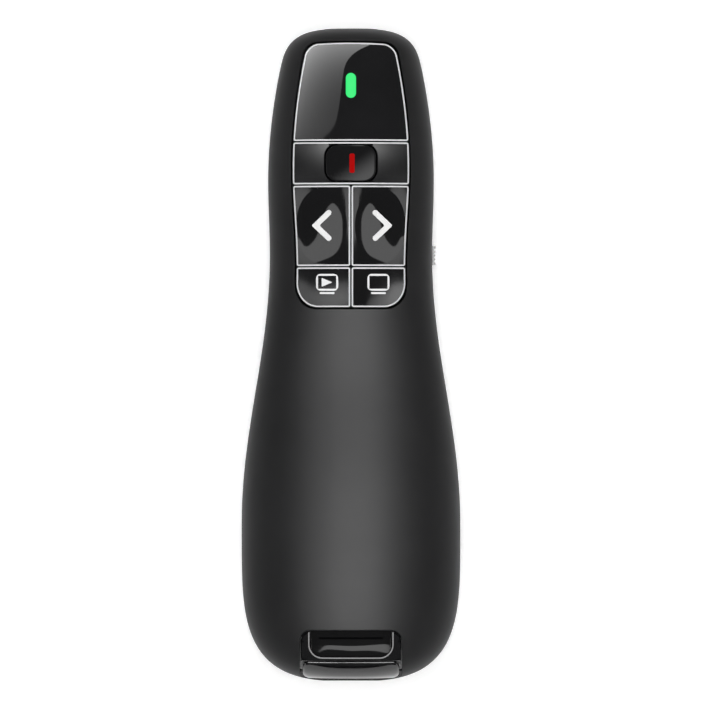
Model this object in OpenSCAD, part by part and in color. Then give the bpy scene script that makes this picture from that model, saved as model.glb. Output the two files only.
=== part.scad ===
/* [Body] */
// Overall length from nose window to tail
body_len = 115.5; // [110:0.5:122]
// Width across the palm
palm_w = 38.8; // [36:0.2:44]
// Width at the waist, where the fingers close
neck_w = 28.8; // [27.4:0.2:31]
// Width across the keypad end
head_w = 29.4; // [28:0.2:32]
// Width that the sides draw in to at the nose, before its corners round off
nose_w = 21.8; // [19:0.2:25]
// Thickness over the palm
palm_h = 26.6; // [25.6:0.2:31]
// Thickness over the keypad
head_h = 22; // [21.6:0.1:24]
// Height of the seam between the two shells
parting_z = 12; // [11.8:0.1:12.4]
// How far the underside rises towards the nose
nose_rise = 2.5; // [1:0.1:3]
// Depth shaved off the underside to leave the flat that it rests on
rest_cut = 0.35; // [0.2:0.05:0.6]
// Distance from the tail to the widest point of the palm
palm_at = 27.6; // [24:0.2:31]
// Distance from the nose to the waist
neck_at = 40.2; // [36:0.2:44]
// Distance from the nose to the widest point of the head
head_at = 26.8; // [24:0.2:29]
// Distance from the nose to where the palm hump begins
hump_at = 54; // [51:0.5:58]
// Length over which the nose rounds off
nose_round = 8; // [6:0.2:10]
// Wall of both shells
wall = 1.8; // [1.4:0.1:2]

/* [Nose window] */
// Width of the dark window in the nose
nose_window_w = 10; // [8:0.2:10.6]
// Height of that window
nose_window_h = 8.2; // [7:0.2:8.6]
// How far it stands out of the shell
nose_window_proud = 0.2; // [0.1:0.05:0.4]

/* [Keypad] */
// Distance from the nose to the front edge of the status window
pad_from_nose = 2.8; // [2.6:0.1:3.2]
// Shell left beside the keypad
rim_w = 4.45; // [4.2:0.05:5]
// Shell left beside the keypad at the nose
nose_rim = 3.8; // [3.4:0.1:4.2]
// Length of the status window
window_len = 17.3; // [15.3:0.2:18.1]
// Length of the surround of the pointer button
bezel_len = 7.4; // [7:0.05:8]
// Length of the two direction keys
nav_len = 14.15; // [13:0.05:14.6]
// Length of the two small keys
app_len = 7; // [6.6:0.1:7.6]
// Gap between neighbouring keys
key_gap = 0.25; // [0.2:0.05:0.5]
// Gap between the keys and the shell
pad_gap = 0.3; // [0.25:0.05:0.45]
// How far the keys lie below the shell's surface
cap_drop = 0.15; // [0.05:0.05:0.3]
// Radius of the keypad's crown, across the body
crown_r = 23; // [21:0.5:28]
// Corner radius at the front of the status window
window_corner = 2; // [1.4:0.1:3]
// Width of the rounding at the keypad's rear corners
foot_x = 4; // [2:0.2:5]
// Length of that rounding
foot_y = 4.4; // [2:0.2:5]
// Width of the pointer button
laser_key_w = 8.9; // [8.6:0.1:10]
// Length of the pointer button
laser_key_len = 6.5; // [6.4:0.05:6.6]
// Corner radius of the pointer button
laser_key_r = 2.1; // [1:0.1:2.8]
// Travel of every key
key_travel = 0.35; // [0.2:0.05:0.4]
// Radius of the fingertip wells in the direction keys
well_r = 25; // [20:1:30]
// Depth of those wells
well_depth = 0.9; // [0.5:0.1:1.2]

/* [Status light] */
// Width of the light bar in the status window
light_w = 1.85; // [1.4:0.05:2.4]
// Length of the light bar
light_len = 4.45; // [3:0.05:6]
// Distance from the nose to the middle of the light bar
light_at = 10.35; // [9:0.05:11]

/* [Key carrier and board] */
// Thickness of the key carrier
carrier_t = 1; // [0.8:0.1:1.2]
// Height of the underside of the key carrier
carrier_z = 16.6; // [16.4:0.1:16.8]
// Thickness of the circuit board
board_t = 1.2; // [1:0.1:1.6]
// Height of the top of the circuit board
board_z = 13.4; // [13.4:0.05:13.6]
// Side of the square key switches
switch_w = 4.5; // [3.6:0.1:4.8]
// Height of their bodies
switch_h = 2.2; // [1.8:0.1:2.3]
// Diameter of their plungers
plunger_d = 2; // [1.6:0.1:2.4]
// Diameter of the screws that hold the board
board_screw_d = 1.4; // [1.2:0.1:1.6]

/* [Laser] */
// Diameter of the laser barrel
barrel_d = 6; // [5:0.1:6]
// Length of the laser barrel
barrel_len = 11; // [9:0.5:12]
// Height of the laser's axis
laser_z = 9.1; // [8.9:0.05:9.1]
// Diameter of its front lens
lens_d = 4; // [3:0.1:4.4]

/* [Power switch] */
// Length of the sliding knob
knob_len = 3.4; // [2.6:0.1:4]
// Height of the sliding knob
knob_h = 1.6; // [1.2:0.1:1.7]
// How far the knob stands out of the side
knob_proud = 0.6; // [0.3:0.1:1]
// Travel of the knob between off and on
knob_travel = 2; // [1.4:0.1:2.4]

/* [Batteries] */
// Diameter of a cell
cell_d = 10.5; // [10:0.1:10.5]
// Length of a cell, with its button
cell_len = 44.5; // [43.5:0.1:44.5]
// Space between the two cells
cell_space = 0.4; // [0.2:0.1:0.6]
// Length of a compressed contact spring
spring_len = 3.1; // [2.6:0.1:3.4]
// Thickness of the contact plates
contact_t = 0.5; // [0.3:0.05:0.6]
// Thickness of the battery door
door_t = 1.7; // [1.4:0.1:1.8]

/* [Receiver] */
// Width of the receiver
receiver_w = 17.6; // [16.6:0.1:17.8]
// Height of the part of the receiver inside the bay
receiver_h = 7.3; // [6.8:0.1:7.4]
// Length of the receiver's moulded body
receiver_len = 34; // [31:0.5:36]
// Width of the plug
plug_w = 12; // [11.8:0.1:12.1]
// Height of the plug
plug_h = 4.5; // [4.4:0.05:4.6]
// Length of the plug
plug_len = 13; // [12:0.5:14]
// Length of the finger cut-out in the tail of the upper shell
cutout_len = 8.9; // [8:0.1:9.6]
// Corner radius of that cut-out
cutout_r = 1.7; // [1:0.1:2.4]
// Width of the finger pocket in the receiver
pocket_w = 14.6; // [12:0.2:15]
// Length of the lip behind the pocket, which the nail pulls on
lip_len = 3.5; // [2.8:0.1:4]
// Depth of the pocket below the straight part of the receiver
pocket_depth = 3.2; // [2.6:0.1:3.8]

/* [Screws and fits] */
// Diameter of the screws that close the shells
case_screw_d = 1.7; // [1.5:0.1:2]
// Diameter of the columns that those screws run through
column_d = 4.6; // [4.4:0.1:4.8]
// Clearance round pieces that slide
slide_gap = 0.2; // [0.15:0.05:0.25]
// Clearance round pieces that are fixed in a hole
fixed_gap = 0.1; // [0.05:0.05:0.15]
// Clearance round screws and plungers
bore_gap = 0.06; // [0.03:0.01:0.08]

/* [Hidden] */
$fn = 48;

// Stations along the body
nose_tip = body_len / 2;
nose_y = nose_tip - nose_window_proud;
tail_y = -body_len / 2;
palm_y = tail_y + palm_at;
neck_y = nose_tip - neck_at;
head_y = nose_tip - head_at;
hump_y = nose_tip - hump_at;

// Roundness of the sections: 2 is an ellipse, more is squarer
crown_n = 2.3;
keel_n = 2.6;
rings = 34;
arc = 20;

// Keypad rows, from the nose backwards
pad_top = nose_tip - pad_from_nose;
window_foot = pad_top - window_len;
bezel_top = window_foot - key_gap;
bezel_foot = bezel_top - bezel_len;
nav_top = bezel_foot - key_gap;
nav_foot = nav_top - nav_len;
app_top = nav_foot - key_gap;
app_foot = app_top - app_len;
bezel_y = (bezel_top + bezel_foot) / 2;
nav_y = (nav_top + nav_foot) / 2;
app_y = (app_top + app_foot) / 2;
light_y = nose_tip - light_at;
window_bow = 0.3;
pad_toe = 0.026;

// Key carrier, switches and board
carrier_top = carrier_z + carrier_t;
key_under = carrier_top + key_travel + 0.15;
carrier_grow = 0.1;
carrier_flange = 0.5;
flange_in = 0.15;
flange_drop = 0.5;
nav_x = 5.3;
app_x = 5;
key_spots = [[0, bezel_y], [-nav_x, nav_y], [nav_x, nav_y], [-app_x, app_y], [app_x, app_y]];
switch_top = board_z + switch_h;
plunger_rise = 0.55;
plunger_top = switch_top + plunger_rise;
post_r = plunger_d / 2 + 0.2;
leg_w = 1.2;
leg_in = 1.8;
leg_out = 7.6;
leg_back = 1.8;
leg_t = 0.9;
hook_out = 0.4;
hook_h = 0.5;
hook_gap = 0.05;
foot_r = 0.8;
nav_foot_x = nav_x + switch_w / 2 + foot_r + 0.15;
carrier_feet = concat([[0, app_foot + 1.9]],
    [for (s = [-1, 1]) each [[s * nav_foot_x, nav_y], [s * 8.1, bezel_y], [s * 5.8, light_y - 1]]]);
board_under = board_z - board_t;
board_edge = 0.5;
board_back = app_foot - 2;
board_front = pad_top - 5.6;
board_boss_r = 1.9;
board_bosses = [for (s = [-1, 1]) each [[9.5 * s, app_foot + 3], [8.9 * s, window_foot + 3]]];
board_head_h = 0.9;
board_head_r = board_screw_d / 2 + 0.75;
board_screw_len = 5;

// Laser
barrel_front = nose_y - wall - 0.6;
barrel_back = barrel_front - barrel_len;
lens_t = 0.8;
laser_board_t = 1;
laser_board_w = 7;
laser_board_h = 5.6;
cradle_w = barrel_d + 2.4;
cradle_len = barrel_len * 0.5;
lead_d = 0.8;
lead_bend = 1.6;

// Power switch on the right flank
power_y = neck_y + 1;
power_z = parting_z - 1.3;
switch_body_len = knob_len + knob_travel + 2.4;
switch_body_h = board_under - power_z + 1.1;
switch_body_w = 3.2;
flank_in = half_w(power_y) - wall;
flange_t = 0.5;
flange_x = flank_in - flange_t - 0.2;
flange_len = knob_len + 2 * knob_travel + 2;
tongue_w = 1.6;
tongue_h = 1;

// Batteries, tray and door
cell_r = cell_d / 2;
cell_x = cell_r + cell_space / 2;
cell_z = door_t + 0.4 + cell_r;
trough_r = cell_r + 0.15;
tray_wall = 0.5;
tray_half = cell_x + trough_r + tray_wall;
tray_end = 1.2;
tray_stop_w = 9.6;
tray_room = cell_len + spring_len + 2 * contact_t;
tray_front = app_foot - 3;
tray_in_front = tray_front - tray_end;
tray_in_back = tray_in_front - tray_room;
tray_back = tray_in_back - tray_end;
tray_mid = (tray_in_front + tray_in_back) / 2;
bay_floor = cell_z + trough_r + 1.4;
tray_foot = cell_z - 0.6;
ear_z = parting_z - 1.2;
column_x = 13.9;
column_ys = [for (t = [0.13, 0.62]) mix(tray_back, tray_front, t)];
column_r = column_d / 2;
screw_head_r = case_screw_d / 2 + 0.6;
screw_head_h = 1.2;
screw_seat = 7.5;
screw_tip = 15.4;
door_half = cell_x + cell_r + 0.15;
door_front = tray_front + 1.6;
door_back = tray_back - 0.5;
door_gap = 0.2;
hook_x = 6.6;
hook_w = 2.4;
hook_len = 1.6;
grip_r = 8;
grip_w = 11;
grip_depth = 0.7;
grip_pitch = 1.5;
grip_rib = 0.6;
spring_wire = 0.5;
spring_turns = 3;
spring_r = 2.6;
nub_d = 3.8;
nub_h = 1.2;

// Receiver and its bay
receiver_z = bay_floor + slide_gap;
receiver_top = receiver_z + receiver_h;
receiver_end = tail_y + 0.2;
receiver_front = receiver_end + receiver_len;
plug_front = receiver_front + plug_len;
bay_half = receiver_w / 2 + slide_gap;
bay_front = plug_front + 0.6;
rail_t = 1.2;
rail_h = 4;
cutout_y = tail_y + cutout_len;
head_front = cutout_y - 0.35;
pocket_r = 2;
pocket_foot = receiver_end + lip_len;
pocket_floor = receiver_top - pocket_depth;
plug_wall = 0.3;
plug_z = receiver_z + receiver_h / 2;
shell_t = 1.1;
tongue_t = 1.9;
tongue_z = plug_z + plug_h / 2 - plug_wall - tongue_t;
contact_pitch = 2.4;
contact_len = 6.4;
contact_w = 1;
contact_h = 0.2;
receiver_board_w = 14;
receiver_board_t = 1.4;
receiver_chip = 5;
latch_x = 2.6;

function clamp01(t) = min(1, max(0, t));
function ease(t) = (1 - cos(180 * clamp01(t))) / 2;
function mix(a, b, t) = a + (b - a) * t;
function spow(v, e) = sign(v) * pow(abs(v), e);

// 1 along the body, falling off as a superellipse where t nears 1
function round_off(t, n) = pow(1 - pow(clamp01(t), 4), 1 / n);
function nose_t(y) = (y - nose_y + nose_round) / (nose_round * 1.02);
function tail_t(y) = (palm_y - y) / ((palm_y - tail_y) * 1.005);

// Plan half-width without and with its rounded ends
function side_w(y) = (y > head_y ? mix(head_w, nose_w, pow((y - head_y) / (nose_y - head_y), 1.9))
    : y > neck_y ? mix(neck_w, head_w, ease((y - neck_y) / (head_y - neck_y)))
    : mix(palm_w, neck_w, ease((y - palm_y) / (neck_y - palm_y)))) / 2;
function half_w(y) = side_w(y) * round_off(nose_t(y), 3.5) * round_off(tail_t(y), 3);

// Heights of the top and the underside along the middle of the body
function end_h(y) = round_off(nose_t(y), 3.5) * round_off(tail_t(y), 3.6);
function top_z(y) = parting_z
    + (mix(head_h, palm_h, ease((hump_y - y) / (hump_y - palm_y))) - parting_z) * end_h(y);
function bottom_z(y) = parting_z
    - (parting_z + rest_cut - nose_rise * ease((y - hump_y) / (nose_y - hump_y))) * end_h(y);

// Heights of the skin at any point of the plan
function roof_z(x, y) = parting_z
    + (top_z(y) - parting_z) * pow(1 - pow(min(1, abs(x) / half_w(y)), crown_n), 1 / crown_n);
function floor_z(x, y) = max(0, parting_z
    - (parting_z - bottom_z(y)) * pow(1 - pow(min(1, abs(x) / half_w(y)), keel_n), 1 / keel_n));

function inner_floor_z(x, y) = max(wall, parting_z - (parting_z - bottom_z(y) - wall)
    * pow(1 - pow(min(1, abs(x) / (half_w(y) - wall)), keel_n), 1 / keel_n));

// A point of the skin at angle a round the section, moved in by inset
function skin(y, a, inset) = let(
    upper = a <= 180,
    n = upper ? crown_n : keel_n,
    w = half_w(y) - inset,
    h = (upper ? top_z(y) - parting_z : parting_z - bottom_z(y)) - inset)
    [w * spow(cos(a), 2 / n), y, max(inset, parting_z + h * spow(sin(a), 2 / n))];
function station(i, inset) = mix(tail_y + inset, nose_y - inset, (1 - cos(180 * i / rings)) / 2);

// One moulded half: an outer and an inner loft, joined along the seam and open below it
module half_shell(start) {
    m = arc + 1;
    n = m * (rings + 1);
    last = rings * m;
    points = [for (inset = [0, wall], i = [0:rings], j = [0:arc])
        skin(station(i, inset), start + 180 * j / arc, inset)];
    outer = [for (i = [0:rings - 1], j = [0:arc - 1]) let(k = i * m + j)
        each [[k, k + 1, k + m + 1], [k, k + m + 1, k + m]]];
    inner = [for (f = outer) [f[2] + n, f[1] + n, f[0] + n]];
    seam = [for (i = [0:rings - 1]) let(a = i * m, b = a + arc)
        each [[a, a + m, a + m + n], [a, a + m + n, a + n], [b + m, b, b + m + n], [b, b + n, b + m + n]]];
    ends = [
        [for (j = [arc:-1:0]) j],
        [for (j = [0:arc]) last + j],
        [for (j = [0:arc]) n + j],
        [for (j = [arc:-1:0]) n + last + j],
        [0, n, n + arc, arc],
        [last, last + arc, n + last + arc, n + last]];
    polyhedron(points, concat(outer, inner, seam, ends), convexity = 6);
}

// Opening in the right flank that the power knob slides in
module knob_slot() {
    length = knob_len + knob_travel + 2 * slide_gap;
    translate([flank_in - 1, power_y - length / 2, power_z - knob_h / 2 - slide_gap])
        cube([wall + 4, length, knob_h + 2]);
}

// Closed solid between two grids of points, each with m points to a row
module grid_solid(upper, lower, m) {
    n = len(upper);
    along = n / m - 1;
    across = m - 1;
    skins = [for (k = [0:along - 1], i = [0:across - 1]) let(a = k * m + i)
        each [[a, a + m, a + m + 1], [a, a + m + 1, a + 1],
            [n + a, n + a + m + 1, n + a + m], [n + a, n + a + 1, n + a + m + 1]]];
    row_walls = [for (i = [0:across - 1], k = [0, along]) let(a = k * m + i)
        k == 0 ? [a, a + 1, n + a + 1, n + a] : [a + 1, a, n + a, n + a + 1]];
    side_walls = [for (k = [0:along - 1], i = [0, across]) let(a = k * m + i)
        i == 0 ? [a + m, a, n + a, n + a + m] : [a, a + m, n + a + m, n + a]];
    polyhedron(concat(upper, lower), concat(skins, row_walls, side_walls), convexity = 4);
}

// Half-width of the keypad, with its front and rear corners rounded
function rim(y) = y > head_y ? mix(rim_w, nose_rim, (y - head_y) / (nose_y - head_y))
    : rim_w + pad_toe * (head_y - y);
function pad_edge(y) = let(
    front = clamp01((y - pad_top + window_corner) / window_corner),
    rear = clamp01((app_foot + foot_y - y) / foot_y))
    side_w(y) - rim(y)
    - window_corner * (1 - sqrt(1 - front * front))
    - foot_x * (1 - sqrt(1 - rear * rear));
function rows(a, b, n) = [for (i = [0:n]) mix(a, b, (1 - cos(180 * i / n)) / 2)];
function bowed(x, y) = y - window_bow * clamp01((y - window_foot) / window_len) * pow(x / 8, 2);

// Plan of the keypad between two rows, grown sideways and lengthwise by grow
module pad_plan(foot, top, grow) {
    ys = rows(foot, top, 18);
    lift = function(y) y + grow * (2 * (y - foot) / (top - foot) - 1);
    right = [for (y = ys) [pad_edge(y) + grow, bowed(pad_edge(y), lift(y))]];
    left = [for (i = [len(ys) - 1:-1:0]) [-right[i][0], right[i][1]]];
    polygon(concat(right, left));
}

// Plan of one key on the side s, between two rows
module key_plan(s, foot, top) {
    ys = rows(foot, top, 14);
    edge = [for (y = ys) [s * pad_edge(y), y]];
    polygon(concat(edge, [[s * key_gap / 2, top], [s * key_gap / 2, foot]]));
}

// The keypad's crown, which every key and the bezel are cut to
function crown_z(x) = head_h - cap_drop - crown_r + sqrt(crown_r * crown_r - x * x);
module crown() {
    translate([0, app_foot - 1, head_h - cap_drop - crown_r])
        rotate([-90, 0, 0]) cylinder(r = crown_r, h = bezel_top - app_foot + 2, $fn = 180);
}
module cap(under) {
    intersection() {
        translate([0, 0, under]) linear_extrude(head_h - under) children();
        crown();
    }
}

// Snap leg of a key, its hook pointing along dir, and the slot that it springs into
module snap_leg(x, y, dir) {
    hook_top = carrier_z - hook_gap;
    translate([x - leg_w / 2, y - leg_t / 2, hook_top - hook_h])
        cube([leg_w, leg_t, key_under - hook_top + hook_h + 0.3]);
    translate([x - leg_w / 2, y - leg_t / 2 + min(0, dir) * hook_out, hook_top - hook_h])
        cube([leg_w, leg_t + hook_out, hook_h]);
}
module snap_slot(x, y, dir) {
    flex = 0.3;
    translate([x - leg_w / 2 - 0.15, y - leg_t / 2 - 0.15 - max(0, dir) * flex, carrier_z - 1])
        cube([leg_w + 0.3, leg_t + 0.3 + flex, carrier_t + 2]);
}
nav_legs = [for (x = [leg_in, leg_out]) each [[x, nav_foot + leg_back, -1], [x, nav_top - leg_back, 1]]];
app_legs = [[leg_in, app_top - 1.2, 1], [leg_out - 0.3, app_top - 1.2, 1],
    [leg_in, app_foot + 1.4, -1], [leg_out - 2.1, app_foot + 1.1, -1]];
laser_legs = [for (x = [-3, 3]) each [[x, bezel_y - 2.1, -1], [x, bezel_y + 2.1, 1]]];

// Post from a key's underside to its switch
module key_post(x, y) {
    translate([x, y, plunger_top]) cylinder(r = post_r, h = key_under - plunger_top + 0.3);
}

module rounded_plan(w, len, r) {
    union() {
        square([w - 2 * r, len], center = true);
        square([w, len - 2 * r], center = true);
        for (sx = [-1, 1], sy = [-1, 1])
            translate([sx * (w / 2 - r), sy * (len / 2 - r)]) circle(r);
    }
}
module stadium(w, len) {
    square([w, len - w], center = true);
    for (s = [-1, 1]) translate([0, s * (len - w) / 2]) circle(d = w);
}

// Outline of the nose window, a superellipse in the plane across the nose
module nose_plan(grow) {
    n = 2.5;
    w = nose_window_w / 2 + grow;
    h = nose_window_h / 2 + grow;
    polygon([for (a = [0:10:350]) [w * spow(cos(a), 2 / n), h * spow(sin(a), 2 / n)]]);
}
module across_nose(depth) {
    translate([0, nose_tip - depth, parting_z]) rotate([-90, 0, 0]) linear_extrude(depth + 1) children();
}

module top_housing() {
    color([0.17, 0.17, 0.18]) difference() {
        union() {
            half_shell(0);
            for (s = [-1, 1], y = column_ys)
                translate([s * column_x, y, parting_z])
                    cylinder(r = column_r, h = roof_z(column_x + column_r, y) - parting_z - 0.3);
        }
        translate([0, 0, parting_z + 2]) linear_extrude(head_h) pad_plan(app_foot, pad_top, pad_gap);
        translate([0, tail_y, bay_floor]) linear_extrude(palm_h)
            rounded_plan(2 * bay_half, 2 * cutout_len, cutout_r);
        translate([-bay_half, cutout_y - 1, bay_floor])
            cube([2 * bay_half, bay_front - cutout_y + 1, receiver_h + 2 * slide_gap]);
        across_nose(wall + 2) nose_plan(fixed_gap);
        for (s = [-1, 1], y = column_ys)
            translate([s * column_x, y, parting_z - 1])
                cylinder(d = case_screw_d + 2 * bore_gap, h = screw_tip - parting_z + 1.6);
    }
}

module bottom_housing() {
    door_mid = (door_front + door_back) / 2;
    color([0.14, 0.14, 0.15]) difference() {
        union() {
            half_shell(180);
            for (s = [-1, 1], y = column_ys) let(z = floor_z(column_x + column_r, y) + 0.1)
                translate([s * column_x, y, z]) cylinder(r = column_r, h = ear_z - z);
            for (p = board_bosses) let(z = floor_z(abs(p[0]) + board_boss_r, p[1]) + 0.2)
                translate([p[0], p[1], z]) cylinder(r = board_boss_r, h = board_under - z);
            cradle();
        }
        translate([0, door_mid, -1]) linear_extrude(wall + 5)
            square([2 * (door_half + door_gap), door_front - door_back + 2 * door_gap], center = true);
        across_nose(wall + 2) nose_plan(fixed_gap);
        for (s = [-1, 1], y = column_ys) translate([s * column_x, y, 0]) {
            cylinder(r = screw_head_r + 0.15, h = screw_seat);
            cylinder(d = case_screw_d + 2 * bore_gap, h = parting_z);
        }
        for (p = board_bosses)
            translate([p[0], p[1], board_under - board_screw_len])
                cylinder(d = board_screw_d + 2 * bore_gap, h = 8);
        knob_slot();
    }
}

// Saddle that the laser barrel lies in
module cradle() {
    y = (barrel_front + barrel_back) / 2;
    z = floor_z(cradle_w / 2, y + cradle_len / 2) + 0.6;
    difference() {
        translate([-cradle_w / 2, y - cradle_len / 2, z]) cube([cradle_w, cradle_len, laser_z - z]);
        translate([0, y - cradle_len, laser_z]) rotate([-90, 0, 0])
            cylinder(d = barrel_d, h = 2 * cradle_len);
    }
}

module nose_window() {
    color([0.05, 0.02, 0.03]) translate([0, nose_tip - wall - nose_window_proud, parting_z])
        rotate([-90, 0, 0]) linear_extrude(wall + nose_window_proud) nose_plan(0);
}

module keypad_carrier() {
    color([0.1, 0.1, 0.1]) difference() {
        union() {
            translate([0, 0, carrier_z]) linear_extrude(carrier_t)
                pad_plan(app_foot, pad_top, carrier_grow);
            translate([0, 0, carrier_z - flange_drop]) linear_extrude(flange_drop + 0.05) difference() {
                pad_plan(app_foot, pad_top, carrier_flange);
                pad_plan(app_foot, pad_top, -flange_in);
            }
            for (p = carrier_feet) translate([p[0], p[1], board_z])
                cylinder(r = foot_r, h = carrier_z - board_z + 0.2);
        }
        for (p = key_spots) translate([p[0], p[1], carrier_z - 1])
            cylinder(r = post_r + 0.15, h = carrier_t + 2);
        for (s = [-1, 1]) {
            for (p = nav_legs) snap_slot(s * p[0], p[1], p[2]);
            for (p = app_legs) snap_slot(s * p[0], p[1], p[2]);
        }
        for (p = laser_legs) snap_slot(p[0], p[1], p[2]);
        translate([0, light_y, carrier_z - 1]) linear_extrude(carrier_t + 2)
            stadium(light_w + 2 * fixed_gap, light_len + 2 * fixed_gap);
    }
}

// Follows the shell's own surface, so that it rolls down over the nose with it
module status_window() {
    across = 14;
    top = [for (y = rows(window_foot, pad_top, 14), i = [0:across])
        let(x = pad_edge(y) * (2 * i / across - 1), v = bowed(x, y)) [x, v, roof_z(x, v) - cap_drop]];
    color([0.04, 0.04, 0.05]) difference() {
        grid_solid(top, [for (p = top) [p[0], p[1], carrier_top]], across + 1);
        translate([0, light_y, carrier_top - 1]) linear_extrude(head_h)
            stadium(light_w + bore_gap, light_len + bore_gap);
    }
}

module status_light_pipe() {
    led_top = board_z + 0.8;
    color([0.3, 0.95, 0.5]) translate([0, light_y, led_top])
        linear_extrude(roof_z(0, light_y) - cap_drop - led_top) stadium(light_w, light_len);
}

module laser_bezel() {
    color([0.06, 0.06, 0.07]) difference() {
        cap(carrier_top) pad_plan(bezel_foot, bezel_top, 0);
        translate([0, bezel_y, 0]) linear_extrude(head_h + 1) laser_key_plan(slide_gap);
    }
}

module laser_key_plan(grow) {
    rounded_plan(laser_key_w + 2 * grow, laser_key_len + 2 * grow, laser_key_r + grow);
}

// The pointer button, dished for the thumb
module laser_button() {
    dish_r = 22;
    color([0.05, 0.05, 0.06]) {
        difference() {
            cap(key_under) translate([0, bezel_y]) laser_key_plan(0);
            translate([0, bezel_y, head_h - cap_drop - 0.35 + dish_r]) sphere(dish_r, $fn = 90);
        }
        for (p = laser_legs) snap_leg(p[0], p[1], p[2]);
        key_post(0, bezel_y);
    }
}

// A direction key with its fingertip well
module nav_key(s) {
    color([0.05, 0.05, 0.06]) {
        difference() {
            cap(key_under) key_plan(s, nav_foot, nav_top);
            translate([s * nav_x, nav_y, crown_z(nav_x)]) rotate([0, s * asin(nav_x / crown_r), 0])
                translate([0, 0, well_r - well_depth]) sphere(well_r, $fn = 90);
        }
        for (p = nav_legs) snap_leg(s * p[0], p[1], p[2]);
        key_post(s * nav_x, nav_y);
    }
}
module back_key() { nav_key(-1); }
module forward_key() { nav_key(1); }

module app_key(s) {
    color([0.05, 0.05, 0.06]) {
        cap(key_under) key_plan(s, app_foot, app_top);
        for (p = app_legs) snap_leg(s * p[0], p[1], p[2]);
        key_post(s * app_x, app_y);
    }
}
module slideshow_key() { app_key(-1); }
module screen_key() { app_key(1); }

// Plunger of the switch under key k
module plunger(k) {
    stroke = key_travel + 0.1;
    color([0.85, 0.82, 0.75]) translate([key_spots[k][0], key_spots[k][1], switch_top - stroke - 0.4])
        cylinder(d = plunger_d, h = plunger_top - switch_top + stroke + 0.4);
}
module laser_plunger() { plunger(0); }
module back_plunger() { plunger(1); }
module forward_plunger() { plunger(2); }
module slideshow_plunger() { plunger(3); }
module screen_plunger() { plunger(4); }

module key_switches() {
    stroke = 2 * key_travel + 0.6;
    color([0.2, 0.2, 0.22]) for (p = key_spots) translate([p[0], p[1], board_z]) difference() {
        translate([-switch_w / 2, -switch_w / 2, 0]) cube([switch_w, switch_w, switch_h]);
        translate([0, 0, switch_h - stroke]) cylinder(d = plunger_d + 2 * bore_gap, h = stroke + 1);
    }
}

module main_board() {
    ys = rows(board_back, board_front, 16);
    edge = [for (y = ys) [half_w(y) - wall - board_edge, y]];
    plan = concat(edge, [for (i = [len(edge) - 1:-1:0]) [-edge[i][0], edge[i][1]]]);
    color([0.05, 0.35, 0.2]) difference() {
        translate([0, 0, board_under]) linear_extrude(board_t) polygon(plan);
        for (p = board_bosses) translate([p[0], p[1], board_under - 1])
            cylinder(d = board_screw_d + 2 * fixed_gap, h = board_t + 2);
    }
}

module screw(head_r, head_h, d, len) {
    slot_w = 0.4;
    difference() {
        union() {
            cylinder(r = head_r, h = head_h);
            translate([0, 0, -len]) cylinder(d = d, h = len + 0.1);
        }
        for (a = [0, 90]) rotate(a) translate([-head_r * 0.65, -slot_w / 2, head_h * 0.45])
            cube([head_r * 1.3, slot_w, head_h]);
    }
}
module board_screws() {
    color("silver") for (p = board_bosses) translate([p[0], p[1], board_z])
        screw(board_head_r, board_head_h, board_screw_d, board_t + board_screw_len - 0.4);
}
module case_screws() {
    color("silver") for (s = [-1, 1], y = column_ys) translate([s * column_x, y, screw_seat])
        mirror([0, 0, 1]) screw(screw_head_r, screw_head_h, case_screw_d, screw_tip - screw_seat);
}

module status_led() {
    color([0.95, 0.95, 0.8]) translate([-0.8, light_y - 0.8, board_z]) cube([1.6, 1.6, 0.8]);
}
module radio_chip() {
    color([0.08, 0.08, 0.09]) translate([-2.1, nav_foot + 2.6, board_z]) cube([4.2, 4.2, 0.9]);
}
module clock_crystal() {
    color("silver") translate([-1.6, nav_top - 4.4, board_z]) cube([3.2, 2.5, 0.8]);
}

module laser_barrel() {
    bore = lens_d - 0.6;
    color([0.8, 0.65, 0.3]) translate([0, barrel_back, laser_z]) rotate([-90, 0, 0]) difference() {
        cylinder(d = barrel_d, h = barrel_len);
        translate([0, 0, barrel_len - lens_t]) cylinder(d = lens_d + 2 * fixed_gap, h = lens_t + 1);
        translate([0, 0, barrel_len * 0.5]) cylinder(d = bore, h = barrel_len);
    }
}
module laser_lens() {
    color([0.8, 0.3, 0.3]) translate([0, barrel_front - lens_t, laser_z]) rotate([-90, 0, 0])
        cylinder(d = lens_d, h = lens_t);
}
module laser_board() {
    color([0.05, 0.35, 0.2]) translate([0, barrel_back - laser_board_t / 2, laser_z])
        cube([laser_board_w, laser_board_t, laser_board_h], center = true);
}

// Two wires that leave the laser's board backwards and turn up to the main board
module laser_leads() {
    color([0.7, 0.1, 0.1]) for (s = [-1, 1]) translate([s * 1.6, 0, 0]) {
        y = barrel_back - laser_board_t;
        translate([0, y, laser_z]) rotate([90, 0, 0]) cylinder(d = lead_d, h = lead_bend * 0.4);
        translate([0, y - lead_bend * 0.4, laser_z + lead_bend]) rotate([0, 90, 180]) rotate([0, 0, 0])
            rotate_extrude(angle = 90) translate([lead_bend, 0]) circle(d = lead_d);
        translate([0, y - lead_bend * 1.4, laser_z + lead_bend])
            cylinder(d = lead_d, h = board_under - laser_z - lead_bend);
    }
}

module power_switch() {
    room = (knob_travel + tongue_w) / 2 + bore_gap;
    x = flange_x - bore_gap - switch_body_w;
    color([0.75, 0.75, 0.75]) difference() {
        translate([x, power_y - switch_body_len / 2, board_under - switch_body_h])
            cube([switch_body_w, switch_body_len, switch_body_h]);
        translate([x + switch_body_w - 1.2, power_y - room, power_z - tongue_h / 2 - bore_gap])
            cube([2, 2 * room, tongue_h + 2 * bore_gap]);
    }
}

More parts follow.
